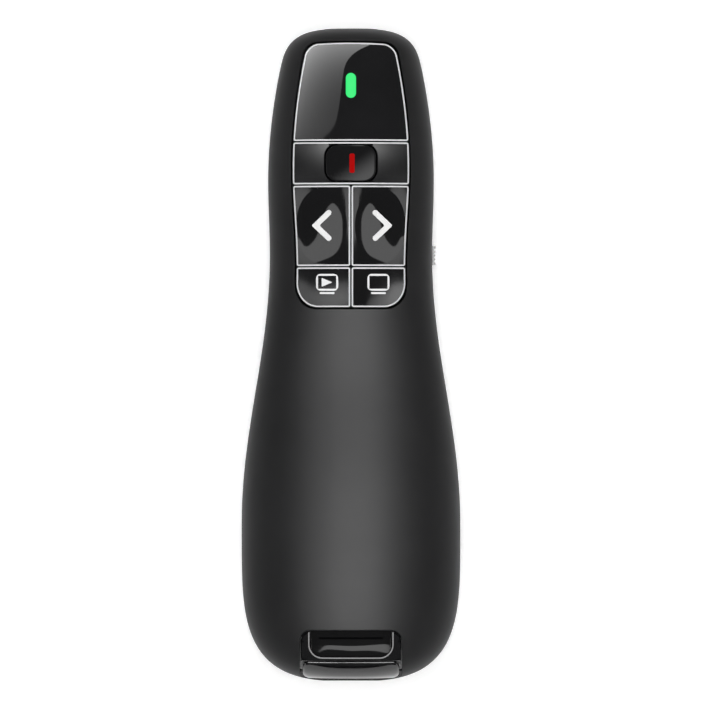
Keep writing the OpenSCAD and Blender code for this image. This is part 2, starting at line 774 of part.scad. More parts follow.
// Sliding knob: ribbed outside, with a flange behind the wall and a tongue into the switch
module power_knob() {
    out = half_w(power_y) + knob_proud;
    ribs = 4;
    y = power_y - knob_travel / 2;
    color([0.25, 0.25, 0.26]) {
        difference() {
            translate([flange_x, y - knob_len / 2, power_z - knob_h / 2])
                cube([out - flange_x, knob_len, knob_h]);
            for (i = [1:ribs]) translate([out, y + knob_len * (i / (ribs + 1) - 0.5), power_z])
                cylinder(d = knob_len / (ribs + 1) * 0.6, h = knob_h + 1, center = true);
        }
        translate([flange_x, y - flange_len / 2, power_z - knob_h / 2 - 0.4])
            cube([flange_t, flange_len, knob_h + 0.6]);
        translate([flange_x - 1, y - tongue_w / 2, power_z - tongue_h / 2]) cube([1.1, tongue_w, tongue_h]);
    }
}

// Saddle over the two cells, with the floor and rails of the receiver bay on top
module battery_tray() {
    top = bay_floor - tray_foot;
    bay_back = tail_y + wall + 0.3;
    stop_z = door_t + floor_z(tray_stop_w / 2, tray_back) + 0.05;
    rail_x = bay_half + rail_t / 2;
    color([0.12, 0.12, 0.13]) difference() {
        union() {
            translate([-tray_half, tray_back, tray_foot])
                cube([2 * tray_half, tray_front - tray_back, top]);
            for (y = [tray_back, tray_in_front])
                translate([-tray_stop_w / 2, y, stop_z])
                    cube([tray_stop_w, tray_end, tray_foot + 1 - stop_z]);
            translate([-bay_half - rail_t, bay_back, bay_floor - 1.2])
                cube([2 * (bay_half + rail_t), tray_back - bay_back + 1, 1.2]);
            for (s = [-1, 1]) translate([s * rail_x - rail_t / 2, cutout_y + 0.4, bay_floor - 0.5])
                cube([rail_t, bay_front - cutout_y, rail_h + 0.5]);
            translate([-bay_half - rail_t, bay_front, bay_floor - 0.5])
                cube([2 * (bay_half + rail_t), rail_t, rail_h + 0.5]);
            for (s = [-1, 1], y = column_ys) translate([0, y, ear_z]) {
                translate([s * column_x, 0, 0]) cylinder(r = column_r - 0.25, h = parting_z - ear_z);
                translate([s * (tray_half + column_x) / 2, 0, (parting_z - ear_z) / 2])
                    cube([column_x - tray_half + 1, 2 * column_r - 0.5, parting_z - ear_z], center = true);
            }
        }
        for (s = [-1, 1]) translate([s * cell_x, tray_in_back, cell_z]) rotate([-90, 0, 0])
            cylinder(r = trough_r, h = tray_room);
        translate([-cell_x, tray_in_back, 0]) cube([2 * cell_x, tray_room, cell_z]);
        for (s = [-1, 1], y = column_ys) translate([s * column_x, y, ear_z - 1])
            cylinder(d = case_screw_d + 2 * fixed_gap, h = 4);
    }
}

// A cell with its button towards dir
module cell(x, dir) {
    length = cell_len - nub_h;
    y = tray_mid + dir * spring_len / 2;
    translate([x, y, cell_z]) rotate([-90 * dir, 0, 0]) {
        translate([0, 0, -cell_len / 2]) cylinder(d = cell_d, h = length);
        translate([0, 0, cell_len / 2 - nub_h - 0.1]) cylinder(d = nub_d, h = nub_h + 0.1);
    }
}
module left_cell() { color([0.25, 0.4, 0.7]) cell(-cell_x, -1); }
module right_cell() { color([0.25, 0.4, 0.7]) cell(cell_x, 1); }

// A contact spring, wound wider towards the cell
module contact_spring() {
    steps = 16 * spring_turns;
    sides = 6;
    function wire_ring(t) = let(
        a = 360 * spring_turns * t,
        r = spring_r * (1 - 0.35 * t),
        z = spring_wire / 2 + (spring_len - spring_wire) * t)
        [for (j = [0:sides - 1]) let(b = 360 * j / sides, q = r + spring_wire / 2 * cos(b))
            [q * cos(a), q * sin(a), z + spring_wire / 2 * sin(b)]];
    faces = [for (i = [0:steps - 1], j = [0:sides - 1])
        let(a = i * sides + j, b = i * sides + (j + 1) % sides)
        each [[a, b, b + sides], [a, b + sides, a + sides]]];
    polyhedron([for (i = [0:steps]) each wire_ring(i / steps)], concat(faces,
        [[for (j = [sides - 1:-1:0]) j], [for (j = [0:sides - 1]) steps * sides + j]]));
}
module battery_springs() {
    color("silver") {
        translate([cell_x, tray_in_back + contact_t, cell_z]) rotate([-90, 0, 0]) contact_spring();
        translate([-cell_x, tray_in_front - contact_t, cell_z]) rotate([90, 0, 0]) contact_spring();
    }
}
module battery_contacts() {
    w = 7;
    strap = 2.4;
    color([0.85, 0.8, 0.65]) {
        for (s = [-1, 1], y = [tray_in_front - contact_t, tray_in_back])
            translate([s * cell_x - w / 2, y, cell_z - w / 2]) cube([w, contact_t, w]);
        translate([-cell_x, tray_in_back, cell_z - w / 2]) cube([2 * cell_x, contact_t, strap]);
    }
}

// Leads from the front contacts, over the tray's end wall and up to the board
module battery_leads() {
    color([0.1, 0.1, 0.1]) for (s = [-1, 1]) translate([s * (cell_x + 2.55), 0, 0]) {
        y = tray_front;
        z = cell_z + 2.2;
        translate([0, y, z]) rotate([-90, 0, 0]) cylinder(d = lead_d, h = board_back + 2 - y - lead_bend);
        translate([0, board_back + 2 - lead_bend, z + lead_bend]) rotate([0, 90, 0])
            rotate_extrude(angle = 90) translate([lead_bend, 0]) circle(d = lead_d);
        translate([0, board_back + 2, z + lead_bend]) cylinder(d = lead_d, h = board_under - z - lead_bend);
    }
}

// Curved panel over the cells, hooked in at the tail and latched at its front edge
module battery_door() {
    across = 16;
    outer = [for (k = [0:18], i = [0:across]) let(
        y = mix(door_back, door_front, k / 18),
        x = door_half * (2 * i / across - 1)) [x, y, floor_z(x, y)]];
    hook_z = inner_floor_z(hook_x + hook_w / 2, door_back - hook_len) + 0.15;
    color([0.16, 0.16, 0.17]) difference() {
        union() {
            grid_solid([for (p = outer) [p[0], p[1], p[2] + door_t]], outer, across + 1);
            for (s = [-1, 1]) translate([s * hook_x - hook_w / 2, door_back, 0]) {
                translate([0, -hook_len, hook_z]) cube([hook_w, hook_len + 1.6, 1]);
                translate([0, 0, door_t - 0.4]) cube([hook_w, 1.6, hook_z - door_t + 1]);
            }
            translate([-4, door_front - 1.2, door_t - 0.4]) cube([8, 0.8, 2.4]);
        }
        translate([0, door_front - 6, 0]) difference() {
            translate([0, 0, grip_depth - grip_r]) rotate([0, 90, 0])
                cylinder(r = grip_r, h = grip_w, center = true);
            for (i = [-1:1]) translate([0, i * grip_pitch, grip_depth])
                cube([grip_w - 2, grip_rib, 2 * (grip_depth - 0.25)], center = true);
        }
    }
}

// Half-width of the receiver's head, which stops where the shell's surface gets too low
function head_edge(y) = let(
    low = (receiver_z + 1.5 - parting_z) / (top_z(y) - parting_z),
    front = clamp01((y - head_front + cutout_r) / cutout_r))
    min(receiver_w / 2 - cutout_r * (1 - sqrt(1 - front * front)),
        half_w(y) * pow(1 - pow(min(1, low), crown_n), 1 / crown_n));

// Moulded end of the receiver: a straight body for the bay, and a head that carries on the
// shell's surface across the cut-out, with a pocket for the fingertip
module receiver_cap() {
    across = 12;
    top = [for (y = rows(receiver_end, head_front, 12), i = [0:across])
        let(x = head_edge(y) * (2 * i / across - 1)) [x, y, roof_z(x, y) - cap_drop]];
    pocket_len = cutout_y + 0.6 - pocket_foot;
    color([0.06, 0.06, 0.07]) difference() {
        union() {
            translate([-receiver_w / 2, head_front - 1, receiver_z])
                cube([receiver_w, receiver_front - shell_t - head_front + 1, receiver_h]);
            grid_solid(top, [for (p = top) [p[0], p[1], receiver_z]], across + 1);
        }
        translate([0, pocket_foot + pocket_len / 2, pocket_floor]) linear_extrude(palm_h)
            rounded_plan(pocket_w, pocket_len, pocket_r);
        translate([-receiver_w / 2 + shell_t, cutout_y + 1.8, receiver_z + shell_t])
            cube([receiver_w - 2 * shell_t, receiver_len, receiver_h - 2 * shell_t]);
    }
}
module receiver_collar() {
    color([0.06, 0.06, 0.07]) translate([0, receiver_front - shell_t, plug_z]) difference() {
        translate([-receiver_w / 2, 0, -receiver_h / 2]) cube([receiver_w, shell_t, receiver_h]);
        translate([-plug_w / 2, -1, -plug_h / 2]) cube([plug_w, shell_t + 2, plug_h]);
    }
}
module receiver_plug() {
    length = plug_len + shell_t + 2;
    color("silver") translate([0, plug_front - length, plug_z]) difference() {
        translate([-plug_w / 2, 0, -plug_h / 2]) cube([plug_w, length, plug_h]);
        translate([-plug_w / 2 + plug_wall, -1, -plug_h / 2 + plug_wall])
            cube([plug_w - 2 * plug_wall, length + 2, plug_h - 2 * plug_wall]);
        for (s = [-1, 1], z = [-1, 1]) translate([s * latch_x, length / 2 + 1.5, z * plug_h / 2])
            cube([2, 2.4, 1.2], center = true);
    }
}
module receiver_tongue() {
    half = plug_w / 2 - plug_wall;
    color([0.9, 0.9, 0.88]) translate([-half, plug_front - plug_len - 2, tongue_z])
        cube([2 * half, plug_len + 1, tongue_t]);
}
module receiver_contacts() {
    color([0.85, 0.7, 0.3]) for (i = [0:3])
        translate([contact_pitch * (i - 1.5), plug_front - 2.2 - contact_len / 2, tongue_z - contact_h / 2])
            cube([contact_w, contact_len * (i == 0 || i == 3 ? 1.12 : 1), contact_h], center = true);
}
module receiver_board() {
    front = plug_front - plug_len - shell_t - 2;
    back = cutout_y + 2;
    color([0.05, 0.35, 0.2]) {
        translate([-receiver_board_w / 2, back, receiver_z + shell_t])
            cube([receiver_board_w, front - back, receiver_board_t]);
        translate([-receiver_chip / 2, back + receiver_chip, receiver_z + shell_t + receiver_board_t])
            cube([receiver_chip, receiver_chip, receiver_chip * 0.18]);
    }
}

top_housing();
bottom_housing();
battery_door();
nose_window();
keypad_carrier();
status_window();
status_light_pipe();
laser_bezel();
laser_button();
back_key();
forward_key();
slideshow_key();
screen_key();
laser_plunger();
back_plunger();
forward_plunger();
slideshow_plunger();
screen_plunger();
key_switches();
main_board();
board_screws();
status_led();
radio_chip();
clock_crystal();
laser_barrel();
laser_lens();
laser_board();
laser_leads();
power_switch();
power_knob();
battery_tray();
left_cell();
right_cell();
battery_springs();
battery_contacts();
battery_leads();
receiver_cap();
receiver_collar();
receiver_plug();
receiver_tongue();
receiver_contacts();
receiver_board();
case_screws();
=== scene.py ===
import math
import bpy
import bmesh
import numpy as np
from mathutils import Matrix, Vector
from mathutils.geometry import delaunay_2d_cdt


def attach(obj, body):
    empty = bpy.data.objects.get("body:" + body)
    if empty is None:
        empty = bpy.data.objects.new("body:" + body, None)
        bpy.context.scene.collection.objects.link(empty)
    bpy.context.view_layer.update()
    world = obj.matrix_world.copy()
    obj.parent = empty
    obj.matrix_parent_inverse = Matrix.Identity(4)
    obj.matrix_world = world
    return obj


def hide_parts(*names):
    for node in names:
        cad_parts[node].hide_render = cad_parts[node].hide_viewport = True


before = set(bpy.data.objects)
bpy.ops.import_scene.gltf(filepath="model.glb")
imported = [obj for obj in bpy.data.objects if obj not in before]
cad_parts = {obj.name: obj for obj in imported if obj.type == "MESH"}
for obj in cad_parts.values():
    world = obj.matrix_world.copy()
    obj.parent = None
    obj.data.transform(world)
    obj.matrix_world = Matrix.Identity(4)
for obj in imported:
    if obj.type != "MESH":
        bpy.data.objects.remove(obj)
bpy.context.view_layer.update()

mm = 0.001

# the body's shape, in mm

body = {
    "length": 115.5, "palmWidth": 38.8, "neckWidth": 28.8, "headWidth": 29.4, "noseWidth": 21.8,
    "palmHeight": 26.6, "headHeight": 22.0, "seam": 12.0, "noseRise": 2.5, "restCut": 0.35,
    "palmAt": 27.6, "neckAt": 40.2, "headAt": 26.8, "humpAt": 54.0, "noseRound": 8.0, "wall": 1.8,
    "lensProud": 0.2, "crownPower": 2.3, "keelPower": 2.6,
    "noseTaper": 1.9,          # how late the nose narrows
    "noseBlunt": 1.02, "nosePower": 3.5,
    "tailBlunt": 1.005, "tailPower": 3.0, "tailRise": 3.6,
    "rings": 132, "arc": 88,   # faces along each shell and across it
    "seamRound": 0.16,         # rounding of the shells' edges at the seam
    "seamGap": 0.05,           # half of the dark line between the shells
}
noseTip = body["length"] / 2
noseY = noseTip - body["lensProud"]
tailY = -noseTip
palmY = tailY + body["palmAt"]
neckY = noseTip - body["neckAt"]
headY = noseTip - body["headAt"]
humpY = noseTip - body["humpAt"]
seam = body["seam"]


def clamp01(t):
    return np.clip(t, 0.0, 1.0)


def ease(t):
    return (1 - np.cos(np.pi * clamp01(t))) / 2


def mix(a, b, t):
    return a + (b - a) * t


def roundOff(t, n):
    return (1 - clamp01(t) ** 4) ** (1 / n)


# from 0, where the rounding of the nose starts, to about 1 at its tip
def noseT(y):
    return (y - noseY + body["noseRound"]) / (body["noseRound"] * body["noseBlunt"])


# the same for the tail, from the palm on
def tailT(y):
    return (palmY - y) / ((palmY - tailY) * body["tailBlunt"])


def sideW(y):
    ahead = clamp01((y - headY) / (noseY - headY))
    front = mix(body["headWidth"], body["noseWidth"], ahead ** body["noseTaper"])
    middle = mix(body["neckWidth"], body["headWidth"], ease((y - neckY) / (headY - neckY)))
    rear = mix(body["palmWidth"], body["neckWidth"], ease((y - palmY) / (neckY - palmY)))
    return np.where(y > headY, front, np.where(y > neckY, middle, rear)) / 2


def halfW(y):
    return sideW(y) * roundOff(noseT(y), body["nosePower"]) * roundOff(tailT(y), body["tailPower"])


def endH(y):
    return roundOff(noseT(y), body["nosePower"]) * roundOff(tailT(y), body["tailRise"])


def topZ(y):
    crest = mix(body["headHeight"], body["palmHeight"], ease((humpY - y) / (humpY - palmY)))
    return seam + (crest - seam) * endH(y)


def bottomZ(y):
    rise = body["noseRise"] * ease((y - humpY) / (noseY - humpY))
    return seam - (seam + body["restCut"] - rise) * endH(y)


# height of the skin over x, as a share of its height in the middle
def arch(x, y, n):
    return (1 - np.minimum(1, np.abs(x) / halfW(y)) ** n) ** (1 / n)


def roofZ(x, y):
    return seam + (topZ(y) - seam) * arch(x, y, body["crownPower"])


def floorZ(x, y):
    return np.maximum(0, seam - (seam - bottomZ(y)) * arch(x, y, body["keelPower"]))


# 1 on the skin and less inside it
def skinLevel(x, y, z, upper):
    n = body["crownPower"] if upper else body["keelPower"]
    h = (topZ(y) - seam) if upper else (seam - bottomZ(y))
    return (np.abs(x) / halfW(y)) ** n + (np.abs(z - seam) / h) ** n


# the rows as vectors of length 1
def unit(rows):
    return rows / np.maximum(np.linalg.norm(rows, axis=-1, keepdims=True), 1e-9)


slopeStep = 0.02     # distance over which a slope is taken


# outward normal of the skin
def skinNormal(x, y, z, upper):
    e = slopeStep
    ahead, behind = np.minimum(y + e, noseY), np.maximum(y - e, tailY)
    return unit(np.stack([
        (skinLevel(x + e, y, z, upper) - skinLevel(x - e, y, z, upper)) / (2 * e),
        (skinLevel(x, ahead, z, upper) - skinLevel(x, behind, z, upper)) / (2 * e),
        (skinLevel(x, y, z + e, upper) - skinLevel(x, y, z - e, upper)) / (2 * e)], axis=-1))


# upward normal of a surface that is given by its height
def surfaceNormal(heightAt, x, y):
    e = slopeStep
    gx = (heightAt(x + e, y) - heightAt(x - e, y)) / (2 * e)
    gy = (heightAt(x, y + e) - heightAt(x, y - e)) / (2 * e)
    return unit(np.stack([-gx, -gy, np.ones_like(gx)], 1))


# mesh helpers

# pieces are in mm until they are dressed
def makePiece(name, points, faces, materials=(), slots=None):
    mesh = bpy.data.meshes.new(name)
    mesh.from_pydata([tuple(float(c) for c in p) for p in points], [], faces)
    piece = bpy.data.objects.new(name, mesh)
    bpy.context.scene.collection.objects.link(piece)
    for m in materials:
        mesh.materials.append(m)
    if slots is not None:
        mesh.polygons.foreach_set("material_index", slots)
    work = bmesh.new()
    work.from_mesh(mesh)
    bmesh.ops.remove_doubles(work, verts=work.verts, dist=2e-4)
    bmesh.ops.recalc_face_normals(work, faces=work.faces)
    work.to_mesh(mesh)
    work.free()
    mesh.shade_smooth()
    return piece


def sharpen(piece, degrees):
    piece.data.set_sharp_from_angle(angle=math.radians(degrees))


# takes the cutters out of the piece and deletes them
def cutBy(piece, cutters):
    for c in cutters:
        m = piece.modifiers.new("cut", "BOOLEAN")
        m.object = c
        m.operation = "DIFFERENCE"
        m.solver = "EXACT"
    graph = bpy.context.evaluated_depsgraph_get()
    mesh = bpy.data.meshes.new_from_object(piece.evaluated_get(graph))
    piece.modifiers.clear()
    piece.data = mesh
    for c in cutters:
        bpy.data.objects.remove(c)
    mesh.shade_smooth()


# adds the other meshes to the piece and deletes them
def joinAll(piece, others):
    work = bmesh.new()
    work.from_mesh(piece.data)
    for o in others:
        work.from_mesh(o.data)
        bpy.data.objects.remove(o)
    work.to_mesh(piece.data)
    work.free()
    piece.data.shade_smooth()


# the chooser gives a normal and a mask for each corner
def setNormals(piece, chooser):
    mesh = piece.data
    count = len(mesh.loops)
    normals = np.zeros(count * 3, np.float32)
    mesh.corner_normals.foreach_get("vector", normals)
    normals = normals.reshape(-1, 3)
    corner = np.zeros(count, np.int32)
    mesh.loops.foreach_get("vertex_index", corner)
    co = np.zeros(len(mesh.vertices) * 3, np.float32)
    mesh.vertices.foreach_get("co", co)
    co = co.reshape(-1, 3)[corner]
    faceNormal = np.zeros(len(mesh.polygons) * 3, np.float32)
    mesh.polygons.foreach_get("normal", faceNormal)
    sizes = np.zeros(len(mesh.polygons), np.int32)
    mesh.polygons.foreach_get("loop_total", sizes)
    faceOf = np.repeat(np.arange(len(sizes)), sizes)
    wanted, mask = chooser(co.astype(float), faceNormal.reshape(-1, 3)[faceOf], faceOf)
    normals[mask] = wanted[mask]
    mesh.normals_split_custom_set(normals.tolist())


# faces between neighbouring rings of m points each
def ringFaces(rings, m, closed=False):
    return [(k * m + i, k * m + (i + 1) % m, (k + 1) % rings * m + (i + 1) % m, (k + 1) % rings * m + i)
            for k in range(rings if closed else rings - 1) for i in range(m)]


# mask of the points p that lie inside a closed loop
def insideOf(loop, p):
    a = loop
    b = np.roll(loop, -1, axis=0)
    hit = np.zeros(len(p), bool)
    for i in range(len(a)):
        if a[i, 1] == b[i, 1]:
            continue
        cross = (a[i, 1] > p[:, 1]) != (b[i, 1] > p[:, 1])
        xs = (b[i, 0] - a[i, 0]) * (p[:, 1] - a[i, 1]) / (b[i, 1] - a[i, 1]) + a[i, 0]
        hit ^= cross & (p[:, 0] < xs)
    return hit


def loopArea(loop):
    a, b = loop, np.roll(loop, -1, axis=0)
    return float(np.sum(a[:, 0] * b[:, 1] - b[:, 0] * a[:, 1]) / 2)


def turned(loop, ccw=True):
    return loop if (loopArea(loop) > 0) == ccw else loop[::-1]


# each point moves to its left, which is into the material
def moveIn(loop, d):
    ahead = np.roll(loop, -1, axis=0) - loop
    behind = loop - np.roll(loop, 1, axis=0)
    aheadSide = unit(np.stack([-ahead[:, 1], ahead[:, 0]], 1))
    behindSide = unit(np.stack([-behind[:, 1], behind[:, 0]], 1))
    n = unit(aheadSide + behindSide)
    cosHalf = np.maximum(np.sum(n * aheadSide, axis=1), 0.5)
    return loop + n * (d / cosHalf)[:, None]


# extra points, so that no side is longer than the step
def resample(loop, step):
    out = []
    for i in range(len(loop)):
        a, b = loop[i], loop[(i + 1) % len(loop)]
        parts = max(1, int(math.ceil(np.linalg.norm(b - a) / step)))
        for k in range(parts):
            out.append(a + (b - a) * k / parts)
    return np.array(out)


# rounds the corners that turn by more than the least angle
def softCorners(loop, radius, step, least, parts=5):
    loop = resample(np.asarray(loop, float), step)
    n = len(loop)
    ahead = np.roll(loop, -1, axis=0) - loop
    behind = loop - np.roll(loop, 1, axis=0)
    turn = np.degrees(np.arctan2(
        behind[:, 0] * ahead[:, 1] - behind[:, 1] * ahead[:, 0], np.sum(ahead * behind, axis=1)))
    corners = [i for i in range(n) if abs(turn[i]) > least]
    drop = set()
    arcs = {}
    for i in corners:
        reach = radius * math.tan(math.radians(min(abs(turn[i]), 150)) / 2)

        def walk(direction):
            left, k = reach, i
            while True:
                q = (k + direction) % n
                d = np.linalg.norm(loop[q] - loop[k])
                if d >= left:
                    return loop[k] + (loop[q] - loop[k]) * left / d
                left -= d
                drop.add(q)
                k = q

        start, end = walk(-1), walk(1)
        drop.add(i)
        ts = np.linspace(0, 1, parts + 1)[:, None]
        arcs[i] = (1 - ts) ** 2 * start + 2 * (1 - ts) * ts * loop[i] + ts ** 2 * end
    out = []
    for i in range(n):
        if i in arcs:
            out.extend(arcs[i])
        elif i not in drop:
            out.append(loop[i])
    out = np.array(out)
    keep = np.linalg.norm(out - np.roll(out, 1, axis=0), axis=1) > 0.01
    return out[keep]


def circleLoop(x, y, r, parts=40):
    a = np.linspace(0, 2 * np.pi, parts, endpoint=False)
    return np.stack([x + r * np.cos(a), y + r * np.sin(a)], 1)


# rounded rectangle, w along X and l along Y
def boxLoop(x, y, w, l, r, parts=8):
    out = []
    for sx, sy, a0 in ((1, 1, 0), (-1, 1, 90), (-1, -1, 180), (1, -1, 270)):
        for a in np.radians(np.linspace(a0, a0 + 90, parts + 1)):
            out.append((x + sx * (w / 2 - r) + r * math.cos(a), y + sy * (l / 2 - r) + r * math.sin(a)))
    return np.array(out)


# cuts the corners of a given loop until it runs smoothly
def softer(loop, times=3):
    loop = np.asarray(loop, float)
    for _ in range(times):
        ahead = np.roll(loop, -1, axis=0)
        loop = np.stack([0.75 * loop + 0.25 * ahead, 0.25 * loop + 0.75 * ahead], 1).reshape(-1, 2)
    return loop


# outline of a round-ended stroke along a path
def stroke(points, width, parts=8):
    p = [np.array(q, float) for q in points]
    r = width / 2
    left, right = [], []
    for i, q in enumerate(p):
        if i == 0 or i == len(p) - 1:
            d = (p[1] - q) if i == 0 else (q - p[-2])
            d /= np.linalg.norm(d)
            n = np.array([-d[1], d[0]])
            start = math.atan2(n[1], n[0])
            turnBy = np.pi if i == 0 else -np.pi
            arc = [q + r * np.array([math.cos(start + turnBy * t), math.sin(start + turnBy * t)])
                   for t in np.linspace(0, 1, parts + 1)]
            left.extend(arc[::-1] if i == 0 else arc)
        else:
            a, b = q - p[i - 1], p[i + 1] - q
            a, b = a / np.linalg.norm(a), b / np.linalg.norm(b)
            n = np.array([-(a + b)[1], (a + b)[0]])
            n /= np.linalg.norm(n)
            k = r / np.dot(n, [-a[1], a[0]])
            left.append(q + n * k)
            right.append(q - n * k)
    return np.array(left + right[::-1])


# triangles over the points of closed rings and loose spots,
# inside the first ring and outside the others
def triangles(rings, spots):
    coords = [Vector(q) for ring in rings for q in ring] + [Vector(q) for q in spots]
    edges, k = [], 0
    for ring in rings:
        edges += [(k + i, k + (i + 1) % len(ring)) for i in range(len(ring))]
        k += len(ring)
    verts, _, tris, origin, _, _ = delaunay_2d_cdt(coords, edges, [], 0, 1e-7)
    first = [o[0] if o else -1 for o in origin]
    centres = np.array([[sum(verts[v][c] for v in t) / 3 for c in (0, 1)] for t in tris])
    keep = insideOf(np.array(rings[0]), centres)
    for ring in rings[1:]:
        keep &= ~insideOf(np.array(ring), centres)
    found = [tuple(first[v] for v in t) for t, ok in zip(tris, keep) if ok]
    return [t for t in found if -1 not in t and len(set(t)) == 3]


# spots of a triangular grid, inside the first ring, outside the others and clear of them all
def gridSpots(rings, spacing, clear):
    edge = np.concatenate(rings)
    lo, hi = edge.min(0), edge.max(0)
    ys = np.arange(lo[1] + spacing / 2, hi[1], spacing * 0.87)
    grid = np.array([(x + (spacing / 2 if k % 2 else 0), y) for k, y in enumerate(ys)
                     for x in np.arange(lo[0] + spacing / 4, hi[0], spacing)])
    ok = insideOf(rings[0], grid)
    for ring in rings[1:]:
        ok &= ~insideOf(ring, grid)
    grid = grid[ok]
    far = np.ones(len(grid), bool)
    batch = 400      # keeps the table of distances small
    for i in range(0, len(grid), batch):
        away = np.linalg.norm(grid[i:i + batch, None] - edge[None], axis=2)
        far[i:i + batch] = away.min(1) > clear
    return grid[far]


edgeStep = 0.3       # longest side of a plate's edge


# a solid between underAt and topAt, with a stepped or rounded rim along every edge:
# each step of a rim says how far in it lies, and how far below the top
def plate(name, outline, topAt, underAt, materials, rim, holes=(), rimSlots=None, holeRim=None, step=0.4):
    loops = [turned(resample(np.asarray(outline, float), edgeStep))]
    loops += [turned(resample(np.asarray(h, float), edgeStep), False) for h in holes]
    points, faces, slots = [], [], []
    rimSlots = rimSlots or [0] * len(rim)
    inner, lowest = [], []
    for order, loop in enumerate(loops):
        own = holeRim if order and holeRim else rim
        ownSlots = [0] * len(own) if order and holeRim else rimSlots
        rows = [(loop, underAt(loop[:, 0], loop[:, 1]))]
        for inset, drop in own:
            moved = moveIn(loop, inset)
            rows.append((moved, topAt(moved[:, 0], moved[:, 1]) - drop))
        base = len(points)
        m = len(loop)
        for xy, z in rows:
            points.extend(np.column_stack([xy, z]))
        for k in range(len(rows) - 1):
            for i in range(m):
                j = (i + 1) % m
                a = base + k * m
                faces.append((a + i, a + j, a + m + j, a + m + i))
                slots.append(ownSlots[k] if k < len(ownSlots) else 0)
        lowest.append((base, m))
        inner.append((base + (len(rows) - 1) * m, m, rows[-1][0]))
    lastSlot = rimSlots[len(rim)] if len(rimSlots) > len(rim) else 0
    lastDrop = rim[-1][1]

    def fill(bounds, heightAt, spots, slot):
        rings = [[tuple(points[base + i][:2]) for i in range(m)] for base, m in bounds]
        ids = [base + i for base, m in bounds for i in range(m)]
        for q in spots:
            ids.append(len(points))
            points.append((q[0], q[1], float(heightAt(np.array([q[0]]), np.array([q[1]]))[0])))
        for t in triangles(rings, spots):
            faces.append(tuple(ids[v] for v in t))
            slots.append(slot)

    spots = gridSpots([xy for _, _, xy in inner], step, min(step, 0.3) * 0.5)
    topFaces = len(faces)
    fill([(b, m) for b, m, _ in inner], lambda x, y: topAt(x, y) - lastDrop, spots, lastSlot)
    topEnd = len(faces)
    fill(lowest, underAt, [], 0)
    piece = makePiece(name, points, faces, materials, slots)
    sharpen(piece, 40)

    # the top, and the rim's faces that lie level with it, get the surface's own normals
    def chooser(co, faceNormal, faceOf):
        x, y = co[:, 0], co[:, 1]
        n = surfaceNormal(topAt, x, y)
        onTop = (faceOf >= topFaces) & (faceOf < topEnd)
        level = np.abs(topAt(x, y) - lastDrop - co[:, 2]) < 0.004
        return n, onTop | (level & (np.sum(n * faceNormal, axis=1) > 0.93))

    setNormals(piece, chooser)
    return piece


# a round bar along a level path, with flat ends
def tube(name, path, radius, materials, parts=12):
    ahead = np.roll(path, -1, axis=0) - path
    behind = path - np.roll(path, 1, axis=0)
    ahead[-1], behind[0] = behind[-1], ahead[0]
    up = np.array([0.0, 0, 1])
    points = []
    for q, d in zip(path, unit(unit(ahead) + unit(behind))):
        side = np.cross(d, up)
        side /= np.linalg.norm(side)
        up = np.cross(side, d)
        for a in np.linspace(0, 2 * np.pi, parts, endpoint=False):
            points.append(q + radius * (math.cos(a) * side + math.sin(a) * up))
    n = len(path)
    faces = ringFaces(n, parts)
    faces += [tuple(range(parts))[::-1], tuple(range((n - 1) * parts, n * parts))]
    piece = makePiece(name, points, faces, materials)
    sharpen(piece, 50)
    return piece


# a straight-sided solid between two heights
def prism(name, outline, low, high):
    loop = turned(np.asarray(outline, float))
    m = len(loop)
    points = [(x, y, z) for z in (low, high) for x, y in loop]
    faces = [tuple(range(m - 1, -1, -1)), tuple(range(m, 2 * m))]
    return makePiece(name, points, faces + ringFaces(2, m))


# cuts an opening and rounds the edge that it leaves in the surface
def rimCutter(name, outline, far, radius, surfaceAt, side=1):
    loop = turned(np.asarray(outline, float))
    rows = [(loop, np.full(len(loop), far))]
    for a in np.radians([0, 22, 45, 66, 84]):
        moved = moveIn(loop, -radius * (1 - math.cos(a)))
        rows.append((moved, surfaceAt(moved[:, 0], moved[:, 1]) - side * radius * (1 - math.sin(a))))
    # the cap is flat and clear of the surface
    out = moveIn(loop, -radius * 1.02)
    away = surfaceAt(out[:, 0], out[:, 1])
    rows.append((out, np.full(len(out), (away.max() if side > 0 else away.min()) + side * 3)))
    m = len(loop)
    points = [(p[0], p[1], z) for xy, zs in rows for p, z in zip(xy, zs)]
    faces = [tuple(range(m - 1, -1, -1)), tuple(range((len(rows) - 1) * m, len(rows) * m))]
    return makePiece(name, points, faces + ringFaces(len(rows), m))


# finishes

def newFinish(name):
    material = bpy.data.materials.new(name)
    material.use_nodes = True
    tree = material.node_tree
    return material, tree.nodes, tree.links, tree.nodes["Principled BSDF"]


# joins colour, roughness and grain to the shader
def wire(links, shader, color, rough, normal=None):
    links.new(color, shader.inputs["Base Color"])
    links.new(rough, shader.inputs["Roughness"])
    if normal:
        links.new(normal, shader.inputs["Normal"])


def addNoise(nodes, links, scale, detail, rough=0.55, stretch=None):
    place = nodes.new("ShaderNodeTexCoord")
    noise = nodes.new("ShaderNodeTexNoise")
    noise.inputs["Scale"].default_value = scale
    noise.inputs["Detail"].default_value = detail
    noise.inputs["Roughness"].default_value = rough
    source = place.outputs["Object"]
    if stretch:
        mapping = nodes.new("ShaderNodeMapping")
        mapping.inputs["Scale"].default_value = stretch
        links.new(source, mapping.inputs["Vector"])
        source = mapping.outputs["Vector"]
    links.new(source, noise.inputs["Vector"])
    return noise.outputs["Fac"]


def addRange(nodes, links, source, low, high, lowIn=0.3, highIn=0.7):
    span = nodes.new("ShaderNodeMapRange")
    span.inputs["From Min"].default_value = lowIn
    span.inputs["From Max"].default_value = highIn
    span.inputs["To Min"].default_value = low
    span.inputs["To Max"].default_value = high
    links.new(source, span.inputs["Value"])
    return span.outputs["Result"]


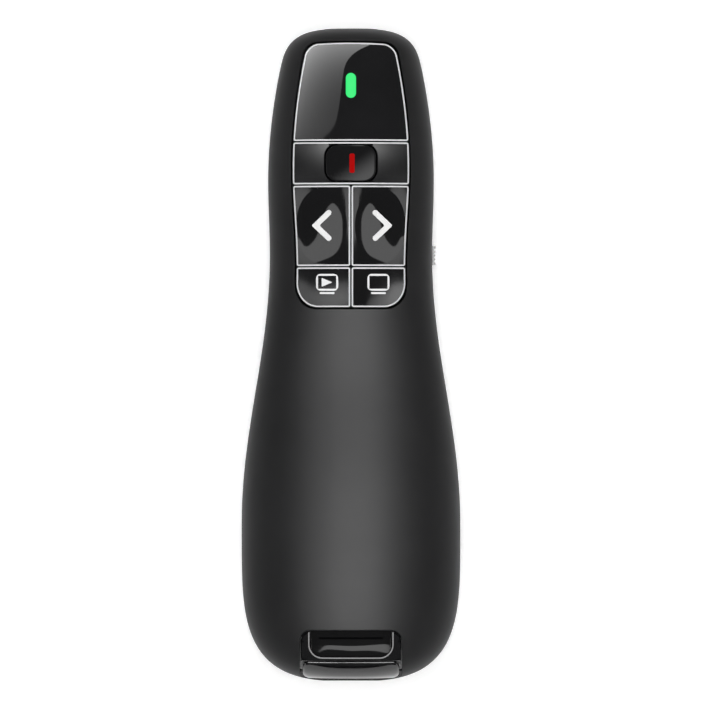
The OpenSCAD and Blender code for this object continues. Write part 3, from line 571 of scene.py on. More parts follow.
def addBlend(nodes, links, source, colorA, colorB, lowIn=0.35, highIn=0.65):
    ramp = nodes.new("ShaderNodeValToRGB")
    ramp.color_ramp.elements[0].position = lowIn
    ramp.color_ramp.elements[1].position = highIn
    ramp.color_ramp.elements[0].color = (*colorA, 1)
    ramp.color_ramp.elements[1].color = (*colorB, 1)
    links.new(source, ramp.inputs["Fac"])
    return ramp.outputs["Color"]


def addBump(nodes, links, source, strength, distance):
    bump = nodes.new("ShaderNodeBump")
    bump.inputs["Strength"].default_value = strength
    bump.inputs["Distance"].default_value = distance
    links.new(source, bump.inputs["Height"])
    return bump.outputs["Normal"]


# moulded or metal surface: two close colours in soft patches, fine grain, uneven gloss
def plainFinish(name, dark, light, rough, grain, grainDepth=0.00001, patch=60, metallic=0.0, stretch=None):
    material, nodes, links, shader = newFinish(name)
    patches = addNoise(nodes, links, patch, 4)
    fine = addNoise(nodes, links, grain, 2, 0.5, stretch)
    wire(links, shader, addBlend(nodes, links, patches, dark, light), addRange(nodes, links, patches, *rough),
         addBump(nodes, links, fine, 0.4, grainDepth))
    shader.inputs["Metallic"].default_value = metallic
    return material


softTouch = {
    "dark": (0.0085, 0.0085, 0.009), "light": (0.0115, 0.0115, 0.012), "rough": (0.49, 0.53),
    "specular": 0.1,           # low, so that the flanks stay dark
}


def softTouchFinish(name, lift=1.0):
    material, nodes, links, shader = newFinish(name)
    patches = addNoise(nodes, links, 45, 5, 0.6)
    grain = addNoise(nodes, links, 4200, 2, 0.5)
    rubbed = addNoise(nodes, links, 190, 6, 0.7)
    dark = [c * lift for c in softTouch["dark"]]
    light = [c * lift for c in softTouch["light"]]
    wire(links, shader, addBlend(nodes, links, patches, dark, light),
         addRange(nodes, links, rubbed, *softTouch["rough"]), addBump(nodes, links, grain, 0.16, 0.00002))
    shader.inputs["Specular IOR Level"].default_value = softTouch["specular"]
    return material


# polished plastic with the faint wipe marks and hairlines of handled gloss
def glossFinish(name, color=(0.0045, 0.0045, 0.005), rough=(0.035, 0.06)):
    material, nodes, links, shader = newFinish(name)
    smears = addNoise(nodes, links, 110, 5, 0.65)
    hair = addNoise(nodes, links, 2600, 2, 0.5, (1, 0.12, 1))
    tint = [c * 1.35 for c in color]
    wire(links, shader, addBlend(nodes, links, smears, color, tint), addRange(nodes, links, smears, *rough),
         addBump(nodes, links, hair, 0.012, 0.000004))
    shader.inputs["IOR"].default_value = 1.5
    return material


# glows by its own emission, with a faintly clouded surface; on the status light the glow is real, on the red
# mark it is painted light
def glowFinish(name, color, strength, base):
    material, nodes, links, shader = newFinish(name)
    shader.inputs["Specular IOR Level"].default_value = 0.05
    cloud = addNoise(nodes, links, 500, 2)
    pale = [c * 1.1 for c in base]
    wire(links, shader, addBlend(nodes, links, cloud, base, pale), addRange(nodes, links, cloud, 0.25, 0.35))
    shader.inputs["Emission Color"].default_value = (*color, 1)
    shader.inputs["Emission Strength"].default_value = strength
    return material


# solder mask over copper tracks, with bare pads and plated holes
def boardFinish(name):
    material, nodes, links, shader = newFinish(name)
    place = nodes.new("ShaderNodeTexCoord")
    tracks = nodes.new("ShaderNodeTexBrick")
    tracks.offset = 0.37
    layout = {"Scale": 420, "Mortar Size": 0.09, "Mortar Smooth": 0.2, "Brick Width": 1.7, "Row Height": 0.42}
    for key, value in layout.items():
        tracks.inputs[key].default_value = value
    links.new(place.outputs["Object"], tracks.inputs["Vector"])
    pads = nodes.new("ShaderNodeTexVoronoi")
    pads.inputs["Scale"].default_value = 330
    pads.inputs["Randomness"].default_value = 0.55
    links.new(place.outputs["Object"], pads.inputs["Vector"])
    isPad = addRange(nodes, links, pads.outputs["Distance"], 1, 0, 0.16, 0.19)
    mask = addBlend(nodes, links, tracks.outputs["Fac"], (0.006, 0.075, 0.028), (0.010, 0.125, 0.045),
                    0.3, 0.6)
    blend = nodes.new("ShaderNodeMix")
    blend.data_type = "RGBA"
    blend.inputs["B"].default_value = (0.62, 0.6, 0.55, 1)
    links.new(isPad, blend.inputs["Factor"])
    links.new(mask, blend.inputs["A"])
    links.new(isPad, shader.inputs["Metallic"])
    wire(links, shader, blend.outputs["Result"], addRange(nodes, links, isPad, 0.32, 0.22, 0, 1),
         addBump(nodes, links, tracks.outputs["Fac"], 0.25, 0.00003))
    return material


print("finishes")
finish = {
    "shell": softTouchFinish("softTouchShell"),
    "lowerShell": softTouchFinish("softTouchLower", 0.92),
    "gloss": glossFinish("glossKey"),
    "window": glossFinish("glossWindow", (0.0068, 0.0068, 0.0074), (0.02, 0.035)),
    # the pale line round each key is a painted highlight: the bevel's reflection put into its colour
    "edgeHighlight": plainFinish("paintedEdgeHighlight", (0.84, 0.84, 0.85), (0.9, 0.9, 0.91), (0.25, 0.33), 1800,
                        0.000004, 300),
    "symbol": plainFinish("symbolWhite", (0.95, 0.95, 0.95), (0.98, 0.98, 0.98), (0.35, 0.45), 2500,
                          0.000003, 400),
    # the red mark on the pointer button glows by emission though it is no lamp: painted light
    "symbolRed": glowFinish("symbolRed", (0.5, 0.001, 0.001), 0.72, (0.05, 0.0003, 0.0003)),
    "light": glowFinish("lightGreen", (0.04, 0.92, 0.215), 0.96, (0.002, 0.005, 0.0025)),
    "nose": glossFinish("noseTint", (0.012, 0.0015, 0.002), (0.03, 0.05)),
    "carrier": plainFinish("carrierBlack", (0.004, 0.004, 0.004), (0.0065, 0.0065, 0.0065), (0.5, 0.6), 2200),
    "switch": plainFinish("switchBlack", (0.02, 0.02, 0.021), (0.03, 0.03, 0.031), (0.4, 0.5), 2600),
    "white": plainFinish("moulding", (0.62, 0.61, 0.57), (0.7, 0.69, 0.65), (0.35, 0.45), 2000),
    "board": boardFinish("boardGreen"),
    "chip": plainFinish("chipBlack", (0.012, 0.012, 0.013), (0.02, 0.02, 0.021), (0.45, 0.6), 5200, 0.00002),
    "steel": plainFinish("steel", (0.55, 0.55, 0.54), (0.66, 0.66, 0.65), (0.22, 0.38), 1500,
                         0.00001, 120, 1.0, (1, 0.1, 1)),
    "plated": plainFinish("platedContact", (0.66, 0.63, 0.55), (0.74, 0.71, 0.62), (0.2, 0.32), 1800,
                          0.000008, 200, 1.0),
    "gold": plainFinish("goldContact", (0.83, 0.6, 0.22), (0.9, 0.68, 0.3), (0.16, 0.26), 1800,
                        0.000005, 260, 1.0),
    "brass": plainFinish("brass", (0.62, 0.42, 0.15), (0.72, 0.5, 0.2), (0.22, 0.34), 900,
                         0.00001, 150, 1.0, (1, 0.08, 1)),
    "lens": glossFinish("lens", (0.2, 0.01, 0.012), (0.02, 0.04)),
    "led": plainFinish("ledBody", (0.72, 0.68, 0.4), (0.8, 0.77, 0.5), (0.25, 0.35), 2500),
    "redWire": plainFinish("redWire", (0.4, 0.01, 0.01), (0.5, 0.016, 0.014), (0.35, 0.48), 1800),
    "blackWire": plainFinish("blackWire", (0.012, 0.012, 0.012), (0.02, 0.02, 0.02), (0.35, 0.48), 1800),
    "knob": plainFinish("knobRubber", (0.035, 0.035, 0.036), (0.048, 0.048, 0.05), (0.45, 0.55), 3000,
                        0.00002),
    "sleeve": plainFinish("cellSleeve", (0.03, 0.09, 0.3), (0.038, 0.11, 0.35), (0.22, 0.3), 1500,
                          0.000004, 90),
}


def dress(piece, bodyName, slotName, *nodes):
    piece.data.transform(Matrix.Scale(mm, 4))
    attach(piece, bodyName)
    if nodes:
        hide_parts(*nodes)
    return piece


# a carried-over solid gets its finish on the object's slots, and its mesh stays as it is
def dressNode(node, material):
    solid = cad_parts[node]
    if not solid.material_slots:
        solid.data.materials.append(None)
    for s in solid.material_slots:
        s.link = "OBJECT"
        s.material = material


# keypad outlines

pad = {
    "fromNose": 2.8, "windowLength": 17.3, "bezelLength": 7.4, "navLength": 14.15, "appLength": 7.0,
    "keyGap": 0.25, "shellGap": 0.36, "drop": 0.15, "crownRadius": 23.0, "lightFromNose": 10.35,
    "rim": 4.45, "noseRim": 3.8,          # width of the shell beside the keypad
    "toe": 0.026,              # how much the rim widens per mm behind the head
    "corner": 2.0, "footX": 4.0, "footY": 4.4,      # corners in front and behind
    "bow": 0.3, "bowHalf": 8.0,           # the window's front falls back by the bow at this distance
    "keyRound": 0.4,           # corner radius of the keys
    "mouthRound": 0.04,        # rounding of the shell round the keypad
}
carrierTop, keyUnder = 17.6, 18.1      # heights of the carrier's top and of the keys' undersides
padTop = noseTip - pad["fromNose"]
windowFoot = padTop - pad["windowLength"]
bezelTop = windowFoot - pad["keyGap"]
bezelFoot = bezelTop - pad["bezelLength"]
navTop = bezelFoot - pad["keyGap"]
navFoot = navTop - pad["navLength"]
appTop = navFoot - pad["keyGap"]
appFoot = appTop - pad["appLength"]
bezelY, navY = (bezelTop + bezelFoot) / 2, (navTop + navFoot) / 2
lightY = noseTip - pad["lightFromNose"]


# half of the keypad's width
def padEdge(y):
    rim = np.where(y > headY, mix(pad["rim"], pad["noseRim"], (y - headY) / (noseY - headY)),
                   pad["rim"] + pad["toe"] * (headY - y))
    front = clamp01((y - padTop + pad["corner"]) / pad["corner"])
    rear = clamp01((appFoot + pad["footY"] - y) / pad["footY"])
    corner = pad["corner"] * (1 - np.sqrt(1 - front ** 2))
    foot = pad["footX"] * (1 - np.sqrt(1 - rear ** 2))
    return sideW(y) - rim - corner - foot


def bowed(x, y):
    share = clamp01((y - windowFoot) / pad["windowLength"])
    return y - pad["bow"] * share * (x / pad["bowHalf"]) ** 2


# rows, packed where the outline's corners turn
def rowsOf(foot, top, n=40):
    ys = list(np.linspace(foot, top, n))
    if foot <= appFoot + 0.01:
        ys += list(appFoot + pad["footY"] * (1 - np.cos(np.linspace(0, np.pi / 2, 24))))
    if top >= padTop - 0.01:
        ys += list(padTop - pad["corner"] * (1 - np.cos(np.linspace(0, np.pi / 2, 20))))
    ys = np.unique(np.clip(ys, foot, top))
    return ys[np.concatenate([[True], np.diff(ys) > 1e-4])]


# the keypad between two rows, both sides
def rowOutline(foot, top, grow=0.0):
    ys = rowsOf(foot, top)
    x = padEdge(ys) + grow
    lift = ys + grow * (2 * (ys - foot) / (top - foot) - 1)
    right = np.stack([x, bowed(padEdge(ys), lift)], 1)
    left = right[::-1] * [-1, 1]
    across = []
    if top >= padTop - 0.01:      # the front edge is bowed
        edge = right[-1, 0]
        xs = np.linspace(edge, -edge, 26)[1:-1]
        across = [(q, bowed(q, padTop + grow)) for q in xs]
    return np.array(list(right) + across + list(left))


# one half of the keypad between two rows
def keyOutline(s, foot, top):
    ys = rowsOf(foot, top)
    outer = np.stack([s * padEdge(ys), ys], 1)
    inner = s * pad["keyGap"] / 2
    return np.array(list(outer) + [(inner, top), (inner, foot)])


# a key's outline with its corners rounded
def softKey(outline):
    return softCorners(outline, pad["keyRound"], 0.25, 30)


# the keys' common crown, the same all along them
def crownZ(x, y=None):
    r = pad["crownRadius"]
    return body["headHeight"] - pad["drop"] - r + np.sqrt(r * r - np.asarray(x, float) ** 2)


# a surface of one height
def flat(z):
    return lambda x, y: np.full(np.shape(x), float(z))


# rim of a key: skirt, pale edge line (a painted highlight of the bevel), fine groove, gloss
keyRim = ((0, 0.32), (0.006, 0.06), (0.02, 0.015), (0.04, 0.0), (0.24, 0.0), (0.265, 0.05), (0.285, 0.05))
keyRimSlots = [0, 1, 1, 1, 1, 1, 0, 0]      # 1 is the pale edge line, a painted highlight
bareRim = ((0, 0.35), (0.04, 0.16), (0.1, 0.08), (0.2, 0.05))
glossAndEdgeHighlight = (finish["gloss"], finish["edgeHighlight"])

# upper and lower shells


# a closed half: outer skin, rounded seam edge, inner skin
def shellHalf(name, upper, material):
    n = body["crownPower"] if upper else body["keelPower"]
    rings, arc, wall, r, gap = (body[k] for k in ("rings", "arc", "wall", "seamRound", "seamGap"))
    sign = 1 if upper else -1
    m = arc + 1
    sheets = []
    for inset in (0.0, wall):
        t = (1 - np.cos(np.pi * np.linspace(0, 1, rings + 1))) / 2
        ys = mix(tailY + inset, noseY - inset, t)
        a = np.linspace(0, np.pi, m)
        c, s = np.cos(a), np.maximum(np.sin(a), 0)
        w = (halfW(ys) - inset)[:, None]
        h = ((topZ(ys) - seam if upper else seam - bottomZ(ys)) - inset)[:, None]
        x = w * np.sign(c) * np.abs(c) ** (2 / n)
        z = seam + sign * np.maximum(h * s ** (2 / n), 0)
        if not upper:
            z = np.maximum(z, inset)
        sheets.append(np.stack([x, np.repeat(ys[:, None], m, 1), z], -1))
    outer, inner = sheets
    # the seam edge is rounded in, and both halves stop short of the seam by the gap
    lift = sign * gap
    outer[:, 0, 2] = outer[:, -1, 2] = seam + lift + sign * r
    low = outer[:, 1:-1, 2]
    outer[:, 1:-1, 2] = np.where(sign * (low - seam) < gap + r * 1.05, seam + lift + sign * r * 1.05, low)
    inner[:, 0, 2] = inner[:, -1, 2] = seam + lift
    strips = []
    for col, side in ((0, 1), (arc, -1)):
        edge = outer[:, col]
        rows = []
        for deg in (30, 60, 90):
            q = edge.copy()
            q[:, 0] -= side * r * (1 - math.cos(math.radians(deg)))
            q[:, 2] = seam + lift + sign * r * (1 - math.sin(math.radians(deg)))
            rows.append(q)
        strips.append(rows)
    points = list(outer.reshape(-1, 3)) + list(inner.reshape(-1, 3))
    n0 = (rings + 1) * m
    strip = {}
    for k, rows in enumerate(strips):
        for j, q in enumerate(rows):
            strip[k, j] = len(points)
            points.extend(q)
    faces = []
    for i in range(rings):
        for j in range(arc):
            k = i * m + j
            faces.append((k, k + 1, k + m + 1, k + m))
            faces.append((n0 + k, n0 + k + m, n0 + k + m + 1, n0 + k + 1))
        for k, col in ((0, 0), (1, arc)):
            chain = [lambda q, c=col: q * m + c] + [lambda q, b=strip[k, j]: b + q for j in range(3)]
            chain.append(lambda q, c=col: n0 + q * m + c)
            for a, b in zip(chain, chain[1:]):
                faces.append((a(i), b(i), b(i + 1), a(i + 1)))
    for i in (0, rings):
        ring = [i * m + j for j in range(m)]
        ring += [strip[1, j] + i for j in range(3)] + [strip[0, j] + i for j in (2, 1, 0)]
        faces.append(tuple(ring))
        faces.append(tuple(n0 + i * m + j for j in range(m)))
        faces.append((strip[0, 2] + i, strip[1, 2] + i, n0 + i * m + arc, n0 + i * m))
    return makePiece(name, points, faces, (material,))


# smooth normals for the skin, away from its edges, its ends and the flat underneath
def skinChooser(upper):
    def chooser(co, faceNormal, faceOf):
        x, y, z = co.T
        n = skinNormal(x, y, z, upper)
        near = (np.abs(skinLevel(x, y, z, upper) - 1) < 0.02) & (np.sum(n * faceNormal, axis=1) > 0.97)
        near &= (y > tailY + 0.02) & (y < noseY - 0.02) & (np.abs(z - seam) > 0.3)
        if not upper:
            near &= z > 0.03
        return n, near

    return chooser


receiver = {
    "width": 17.6, "gap": 0.2, "z": 14.35, "height": 7.3, "end": tailY + 0.2, "length": 34.0,
    "cutoutLength": 9.25, "cutoutRadius": 1.9,
    "cutoutRim": 0.25,         # rounding of the shell round the cut-out
    "cutoutLeast": 0.6,        # least height of the cut-out at the very end
    "collar": 1.1,             # the body stops short of its length by the collar
    "bodyCorner": 0.4,
}
bayFloor = receiver["z"] - receiver["gap"]
cutoutY = tailY + receiver["cutoutLength"]
bayHalf = receiver["width"] / 2 + receiver["gap"]


# a solid whose outline lies in X and Z, about the seam, between two values of Y
def crossSection(name, loop, y0, y1):
    m = len(loop)
    points = [(x, y, seam + z) for y in (y0, y1) for x, z in loop]
    faces = [tuple(range(m)), tuple(range(2 * m - 1, m - 1, -1))]
    faces += [(i, m + i, m + (i + 1) % m, (i + 1) % m) for i in range(m)]
    return makePiece(name, points, faces)


lens = {"width": 9.8, "height": 8.0, "power": 2.5, "fit": 0.05, "cutDepth": 4.0}


def lensLoop(grow, parts=72):
    a = np.linspace(0, 2 * np.pi, parts, endpoint=False)
    c, s = np.cos(a), np.sin(a)
    return np.stack([(lens["width"] / 2 + grow) * np.sign(c) * np.abs(c) ** (2 / lens["power"]),
                     (lens["height"] / 2 + grow) * np.sign(s) * np.abs(s) ** (2 / lens["power"])], 1)


print("upper shell")
upperShell = shellHalf("upperShell", True, finish["shell"])
mouth = rowOutline(appFoot, padTop, pad["shellGap"])
tailCut = boxLoop(0, tailY, 2 * bayHalf, 2 * receiver["cutoutLength"], receiver["cutoutRadius"], 12)


# the roof over the bay, kept above its floor at the very end
def bayRoof(x, y):
    return np.maximum(roofZ(x, np.maximum(y, tailY + 0.05)), bayFloor + receiver["cutoutLeast"])


def noseCut():
    return crossSection("noseCut", lensLoop(lens["fit"]), noseY - lens["cutDepth"], noseTip + 1)


mouthCut = rimCutter("mouthCut", mouth, seam + 2, pad["mouthRound"], roofZ)
bayCut = rimCutter("tailCut", resample(tailCut, 0.5), bayFloor, receiver["cutoutRim"], bayRoof)
cutBy(upperShell, [mouthCut, bayCut, noseCut()])
sharpen(upperShell, 32)
setNormals(upperShell, skinChooser(True))

print("lower shell")
door = {
    "half": 10.85, "front": appFoot - 1.4, "back": appFoot - 54.5, "gap": 0.2, "corner": 0.3,
    "rim": 0.15,               # rounding of the shell round the door
    "cutTop": 6.8,
}
screws = {
    "x": 13.9, "ys": (appFoot - 47.37, appFoot - 22.38), "column": 2.3, "seat": 7.5, "head": 1.45,
    "shank": 0.85, "columnTop": 10.8, "topBevel": 0.2,
    "wellGap": 0.15, "wellRim": 0.3,
}
knob = {
    "y": 18.55, "z": 10.7, "length": 3.4, "travel": 2.0,
    "slotEnds": 0.4, "slotUnder": 1.0, "slotOver": 2.0, "slotCorner": 0.2,
    "cutMiddle": 1.5, "cutDepth": 5.0,      # the slot's cutter, from the flank's inner face
}
flankIn = float(halfW(np.array(knob["y"]))) - body["wall"]

lowerShell = shellHalf("lowerShell", False, finish["lowerShell"])
doorLoop = boxLoop(0, (door["front"] + door["back"]) / 2, 2 * (door["half"] + door["gap"]),
                   door["front"] - door["back"] + 2 * door["gap"], door["corner"])


# a tube for the screw, with the seat for its head; its foot lies inside the wall
def screwColumn(x0, y0, parts=40):
    well, shank, outer = screws["head"] + 0.13, screws["shank"] + 0.06, screws["column"]
    seat, top, bevel = screws["seat"], screws["columnTop"], screws["topBevel"]
    rows = [(well, None), (well, seat), (shank, seat), (shank, top), (outer - bevel, top),
            (outer, top - bevel), (outer, None)]
    a = np.linspace(0, 2 * np.pi, parts, endpoint=False)
    points = []
    for r, z in rows:
        x, y = x0 + r * np.cos(a), y0 + r * np.sin(a)
        points.extend(zip(x, y, floorZ(x, y) + body["wall"] / 2 if z is None else np.full(parts, z)))
    return makePiece("column", points, ringFaces(len(rows), parts, True))


screwSpots = [(s * screws["x"], y) for s in (-1, 1) for y in screws["ys"]]
wells = [rimCutter("well", circleLoop(x, y, screws["head"] + screws["wellGap"]), screws["seat"],
                   screws["wellRim"], floorZ, -1) for x, y in screwSpots]
slotLength = knob["length"] + knob["travel"] + knob["slotEnds"]
slotLoop = boxLoop(flankIn + knob["cutMiddle"], knob["y"], knob["cutDepth"], slotLength, knob["slotCorner"])
slotCut = prism("slotCut", slotLoop, knob["z"] - knob["slotUnder"], knob["z"] + knob["slotOver"])
doorCut = rimCutter("doorCut", resample(doorLoop, 1.0), door["cutTop"], door["rim"], floorZ, -1)
cutBy(lowerShell, [doorCut, slotCut, noseCut()] + wells)
joinAll(lowerShell, [screwColumn(x, y) for x, y in screwSpots])
sharpen(lowerShell, 32)
setNormals(lowerShell, skinChooser(False))
dress(upperShell, "housing", "soft_touch_shell", "top_housing")
dress(lowerShell, "housing", "lower_shell", "bottom_housing")

# status window, its light, and the lens in the nose

print("window and lens")
statusLight = {"width": 1.85, "length": 4.45, "dome": 0.08, "holeInset": 0.02, "inset": 0.03, "foot": 14.2}


def windowTop(x, y):
    return roofZ(x, y) - pad["drop"]


def lightLoop(grow, parts=14):
    r = statusLight["width"] / 2 + grow
    half = (statusLight["length"] - statusLight["width"]) / 2
    a = np.linspace(0, np.pi, parts)
    upperArc = np.stack([r * np.cos(a), lightY + half + r * np.sin(a)], 1)
    lowerArc = np.stack([-r * np.cos(a), lightY - half - r * np.sin(a)], 1)
    return np.concatenate([upperArc, lowerArc])


statusWindow = plate("statusWindow", softKey(rowOutline(windowFoot, padTop)), windowTop, flat(carrierTop),
                     (finish["window"], finish["edgeHighlight"]), rim=keyRim, rimSlots=keyRimSlots,
                     holes=[lightLoop(-statusLight["holeInset"])], holeRim=((0, 0.08), (0.01, 0.05)))
dress(statusWindow, "housing", "window_gloss", "status_window")


def lightTop(x, y):
    half = (statusLight["length"] - statusLight["width"]) / 2
    away = np.hypot(x, np.maximum(np.abs(y - lightY) - half, 0)) / (statusLight["width"] / 2)
    return windowTop(x, y) + statusLight["dome"] * (1 - np.minimum(1, away) ** 2)


lightPipe = plate("lightPipe", lightLoop(-statusLight["inset"]), lightTop, flat(statusLight["foot"]),
                  (finish["light"],), rim=((0, 0.1), (0.04, 0.03), (0.1, 0)), step=0.2)
dress(lightPipe, "housing", "light_green", "status_light_pipe")


# the lens bulges a little past the shells; its rows run from its back to its middle
def noseLens():
    steps = [(0, -2.0), (0, -0.3), (0.06, -0.16), (0.16, -0.08)]
    rows = [(lensLoop(-inset), noseTip + y) for inset, y in steps]
    outer = rows[-1][0]
    for k in np.linspace(0.92, 0.08, 8):
        rows.append((outer * k, noseTip - 0.08 * k * k))
    m = len(outer)
    points = [(x, y, seam + z) for loop, y in rows for x, z in loop]
    points.append((0, noseTip, seam))
    faces = [tuple(range(m))] + ringFaces(len(rows), m)
    last = (len(rows) - 1) * m
    faces += [(last + i, len(points) - 1, last + (i + 1) % m) for i in range(m)]
    piece = makePiece("noseLens", points, faces, (finish["nose"],))
    sharpen(piece, 40)
    return piece


dress(noseLens(), "housing", "nose_tint", "nose_window")

# the pointer button and its bezel

print("keys")
pointer = {
    "width": 8.9, "length": 6.5, "corner": 2.1, "dish": 0.4, "gap": 0.14,
    "barX": 0.2, "barWidth": 0.96, "barLength": 3.45, "barRound": 0.3,
}


def pointerTop(x, y):
    across = 1 - (np.asarray(x) / (pointer["width"] / 2)) ** 2
    along = 1 - ((y - bezelY) / (pointer["length"] / 2)) ** 2
    return crownZ(x) - pointer["dish"] * np.clip(across, 0, 1) * np.clip(along, 0, 1)


# the button's outline, grown on every side
def pointerLoop(grow):
    return boxLoop(0, bezelY, pointer["width"] + 2 * grow, pointer["length"] + 2 * grow,
                   pointer["corner"] + grow)


bezel = plate("pointerBezel", softKey(rowOutline(bezelFoot, bezelTop)), crownZ, flat(carrierTop),
              glossAndEdgeHighlight, rim=keyRim, rimSlots=keyRimSlots, holes=[pointerLoop(pointer["gap"])],
              holeRim=bareRim, step=0.3)
dress(bezel, "housing", "window_gloss", "laser_bezel")

pointerButton = plate("pointerButton", pointerLoop(0), pointerTop, flat(keyUnder), (finish["gloss"],),
                      rim=((0, 0.36), (0.03, 0.16), (0.1, 0.05), (0.2, 0.01), (0.32, 0)), step=0.3)
barLoop = boxLoop(pointer["barX"], bezelY, pointer["barWidth"], pointer["barLength"], pointer["barRound"])
# the red bar's finish glows by emission: painted light
pointerBar = plate("pointerBar", barLoop, lambda x, y: pointerTop(x, y) + 0.02,
                   lambda x, y: pointerTop(x, y) - 0.1, (finish["symbolRed"],), rim=((0, 0.05), (0.03, 0)),
                   step=0.25)
dress(pointerButton, "laser_button", "key_gloss", "laser_button")
dress(pointerBar, "laser_button", "key_gloss")

# direction keys

nav = {
    "wellX": 5.3, "wellDepth": 0.9, "wellRadius": 25.0,
    "tipX": 6.45, "armX": 4.1, "armY": 2.24, "stroke": 0.98, "chevronY": 22.75, "chevronRound": 0.3,
    "shift": 0.2,              # the marks stand a little right of the middle
}


# a ball's hollow for the fingertip, set square to the crown
def wellTopAt(s):
    slant = math.asin(nav["wellX"] / pad["crownRadius"])
    up = nav["wellRadius"] - nav["wellDepth"]
    ballX = s * (nav["wellX"] + up * math.sin(slant))
    ballZ = float(crownZ(nav["wellX"])) + up * math.cos(slant)

    def hollow(x, y):
        left = nav["wellRadius"] ** 2 - (x - ballX) ** 2 - (y - navY) ** 2
        return ballZ - np.sqrt(np.maximum(left, 1))

    return hollow


# where the hollow meets the crown
def wellLoop(s, parts=96):
    top = wellTopAt(s)
    a = np.linspace(0, 2 * np.pi, parts, endpoint=False)
    near, far = np.full(parts, 1.0), np.full(parts, 9.0)
    for _ in range(40):
        r = (near + far) / 2
        x, y = s * nav["wellX"] + r * np.cos(a), navY + r * np.sin(a)
        inside = crownZ(x) > top(x, y)
        near, far = np.where(inside, r, near), np.where(inside, far, r)
    return np.stack([s * nav["wellX"] + near * np.cos(a), navY + near * np.sin(a)], 1)


# a white mark let into a key
def inlay(name, outline, top, holes=()):
    return plate(name, outline, lambda x, y: top(x, y) - 0.02, lambda x, y: top(x, y) - 0.15,
                 (finish["symbol"],), rim=((0, 0.03), (0.02, 0)), holes=holes, step=0.3)


brinkRim = ((0, 0.15), (0.0002, 0.05))     # where the hollow and its key meet

for s, node in ((-1, "back_key"), (1, "forward_key")):
    top = wellTopAt(s)
    brink = wellLoop(s)
    key = plate(node + "Cap", softKey(keyOutline(s, navFoot, navTop)), crownZ, flat(keyUnder), glossAndEdgeHighlight,
                rim=keyRim, rimSlots=keyRimSlots, holes=[brink], holeRim=brinkRim, step=0.35)
    well = plate(node + "Well", brink, top, flat(keyUnder), (finish["gloss"],), rim=brinkRim, step=0.35)
    dress(key, node, "key_gloss", node)
    dress(well, node, "key_gloss")
    tip, arm, y = s * nav["tipX"] + nav["shift"], s * nav["armX"] + nav["shift"], nav["chevronY"]
    arrow = stroke([(arm, y + nav["armY"]), (tip, y), (arm, y - nav["armY"])], nav["stroke"])
    arrowMark = inlay(node + "Arrow", softCorners(arrow, nav["chevronRound"], 0.15, 40), top)
    dress(arrowMark, node, "white_plastic")

# slideshow and screen keys

app = {
    "line": 0.36, "frameX": 4.52, "frameY": 12.72,
    "frameWidth": 3.55, "frameHeight": 2.62, "frameCorner": 0.42,
    "playWidth": 1.95, "playHeight": 1.6, "playRound": 0.12,
    "standWidth": 2.3, "standHeight": 0.36, "standY": 10.82,
    "shift": 0.33,
}


# the picture frame's outline, grown by half of its line or shrunk by it
def frameLoop(x, grow):
    return boxLoop(x, app["frameY"], app["frameWidth"] + grow, app["frameHeight"] + grow,
                   app["frameCorner"] + grow, 5)


for s, node in ((-1, "slideshow_key"), (1, "screen_key")):
    key = plate(node + "Cap", softKey(keyOutline(s, appFoot, appTop)), crownZ, flat(keyUnder), glossAndEdgeHighlight,
                rim=keyRim, rimSlots=keyRimSlots, step=0.35)
    dress(key, node, "key_gloss", node)
    x, y = s * app["frameX"] + app["shift"], app["frameY"]
    frameMark = inlay(node + "Frame", frameLoop(x, app["line"]), crownZ, [frameLoop(x, -app["line"])])
    dress(frameMark, node, "white_plastic")
    stand = [(x - app["standWidth"] / 2, app["standY"]), (x + app["standWidth"] / 2, app["standY"])]
    dress(inlay(node + "Stand", stroke(stand, app["standHeight"]), crownZ), node, "white_plastic")
    if s < 0:
        w, h = app["playWidth"] / 2, app["playHeight"] / 2
        play = softCorners([(x - w, y - h), (x + w, y), (x - w, y + h)], app["playRound"], 0.2, 30)
        dress(inlay(node + "Play", play, crownZ), node, "white_plastic")

# receiver

print("receiver")
head = {
    "front": cutoutY - 0.3, "end": tailY + 0.6, "sunk": 0.3, "overlap": 1.0,
    "shoulder": 1.5,           # the sides follow the shell from this height up
    "pocketHalf": 7.3, "pocketFoot": -53.3, "pocketFloor": 18.45, "pocketRound": 2.3,
    "troughY": -51.9, "troughRadius": 12.0,
    "rampFoot": -50.3, "rampFootHalf": 5.6, "rampFrontHalf": 6.0, "rampRise": 0.15, "rampSlope": 1.5,
    "bead": 0.17,              # radius of the round edge along the pocket
    "lipHalf": 8.52, "lipTop": -54.1, "lipRound": 1.3, "lipCorner": 1.2,
}


def headEdge(y):
    low = (receiver["z"] + head["shoulder"] - seam) / np.maximum(topZ(y) - seam, 0.1)
    front = clamp01((y - head["front"] + receiver["cutoutRadius"]) / receiver["cutoutRadius"])
    n = body["crownPower"]
    side = receiver["width"] / 2 - receiver["cutoutRadius"] * (1 - np.sqrt(1 - front ** 2))
    return np.minimum(side, halfW(y) * (1 - np.minimum(1, low) ** n) ** (1 / n))


def lipTopAt(x, y):
    return roofZ(x, np.maximum(y, head["end"] - 0.2)) - pad["drop"]


def sunkTop(x, y):
    return lipTopAt(x, y) - head["sunk"]


# a shallow trough
def trayTop(x, y):
    return head["pocketFloor"] + (y - head["troughY"]) ** 2 / (2 * head["troughRadius"])


def rampTop(x, y):
    rise = head["rampSlope"] * (np.asarray(y) - head["rampFoot"])
    return head["pocketFloor"] + head["rampRise"] + rise + 0 * x


# the right side and the left side of the head, from a row forward and back to it
def headSides(back):
    ys = np.unique(np.concatenate([
        np.linspace(back, head["front"], 50),
        head["front"] - receiver["cutoutRadius"] * (1 - np.cos(np.linspace(0, np.pi / 2, 16)))]))
    right = np.stack([headEdge(ys), ys], 1)
    right = right[right[:, 0] > head["pocketHalf"] + 0.5]
    return right, right[::-1] * [-1, 1]


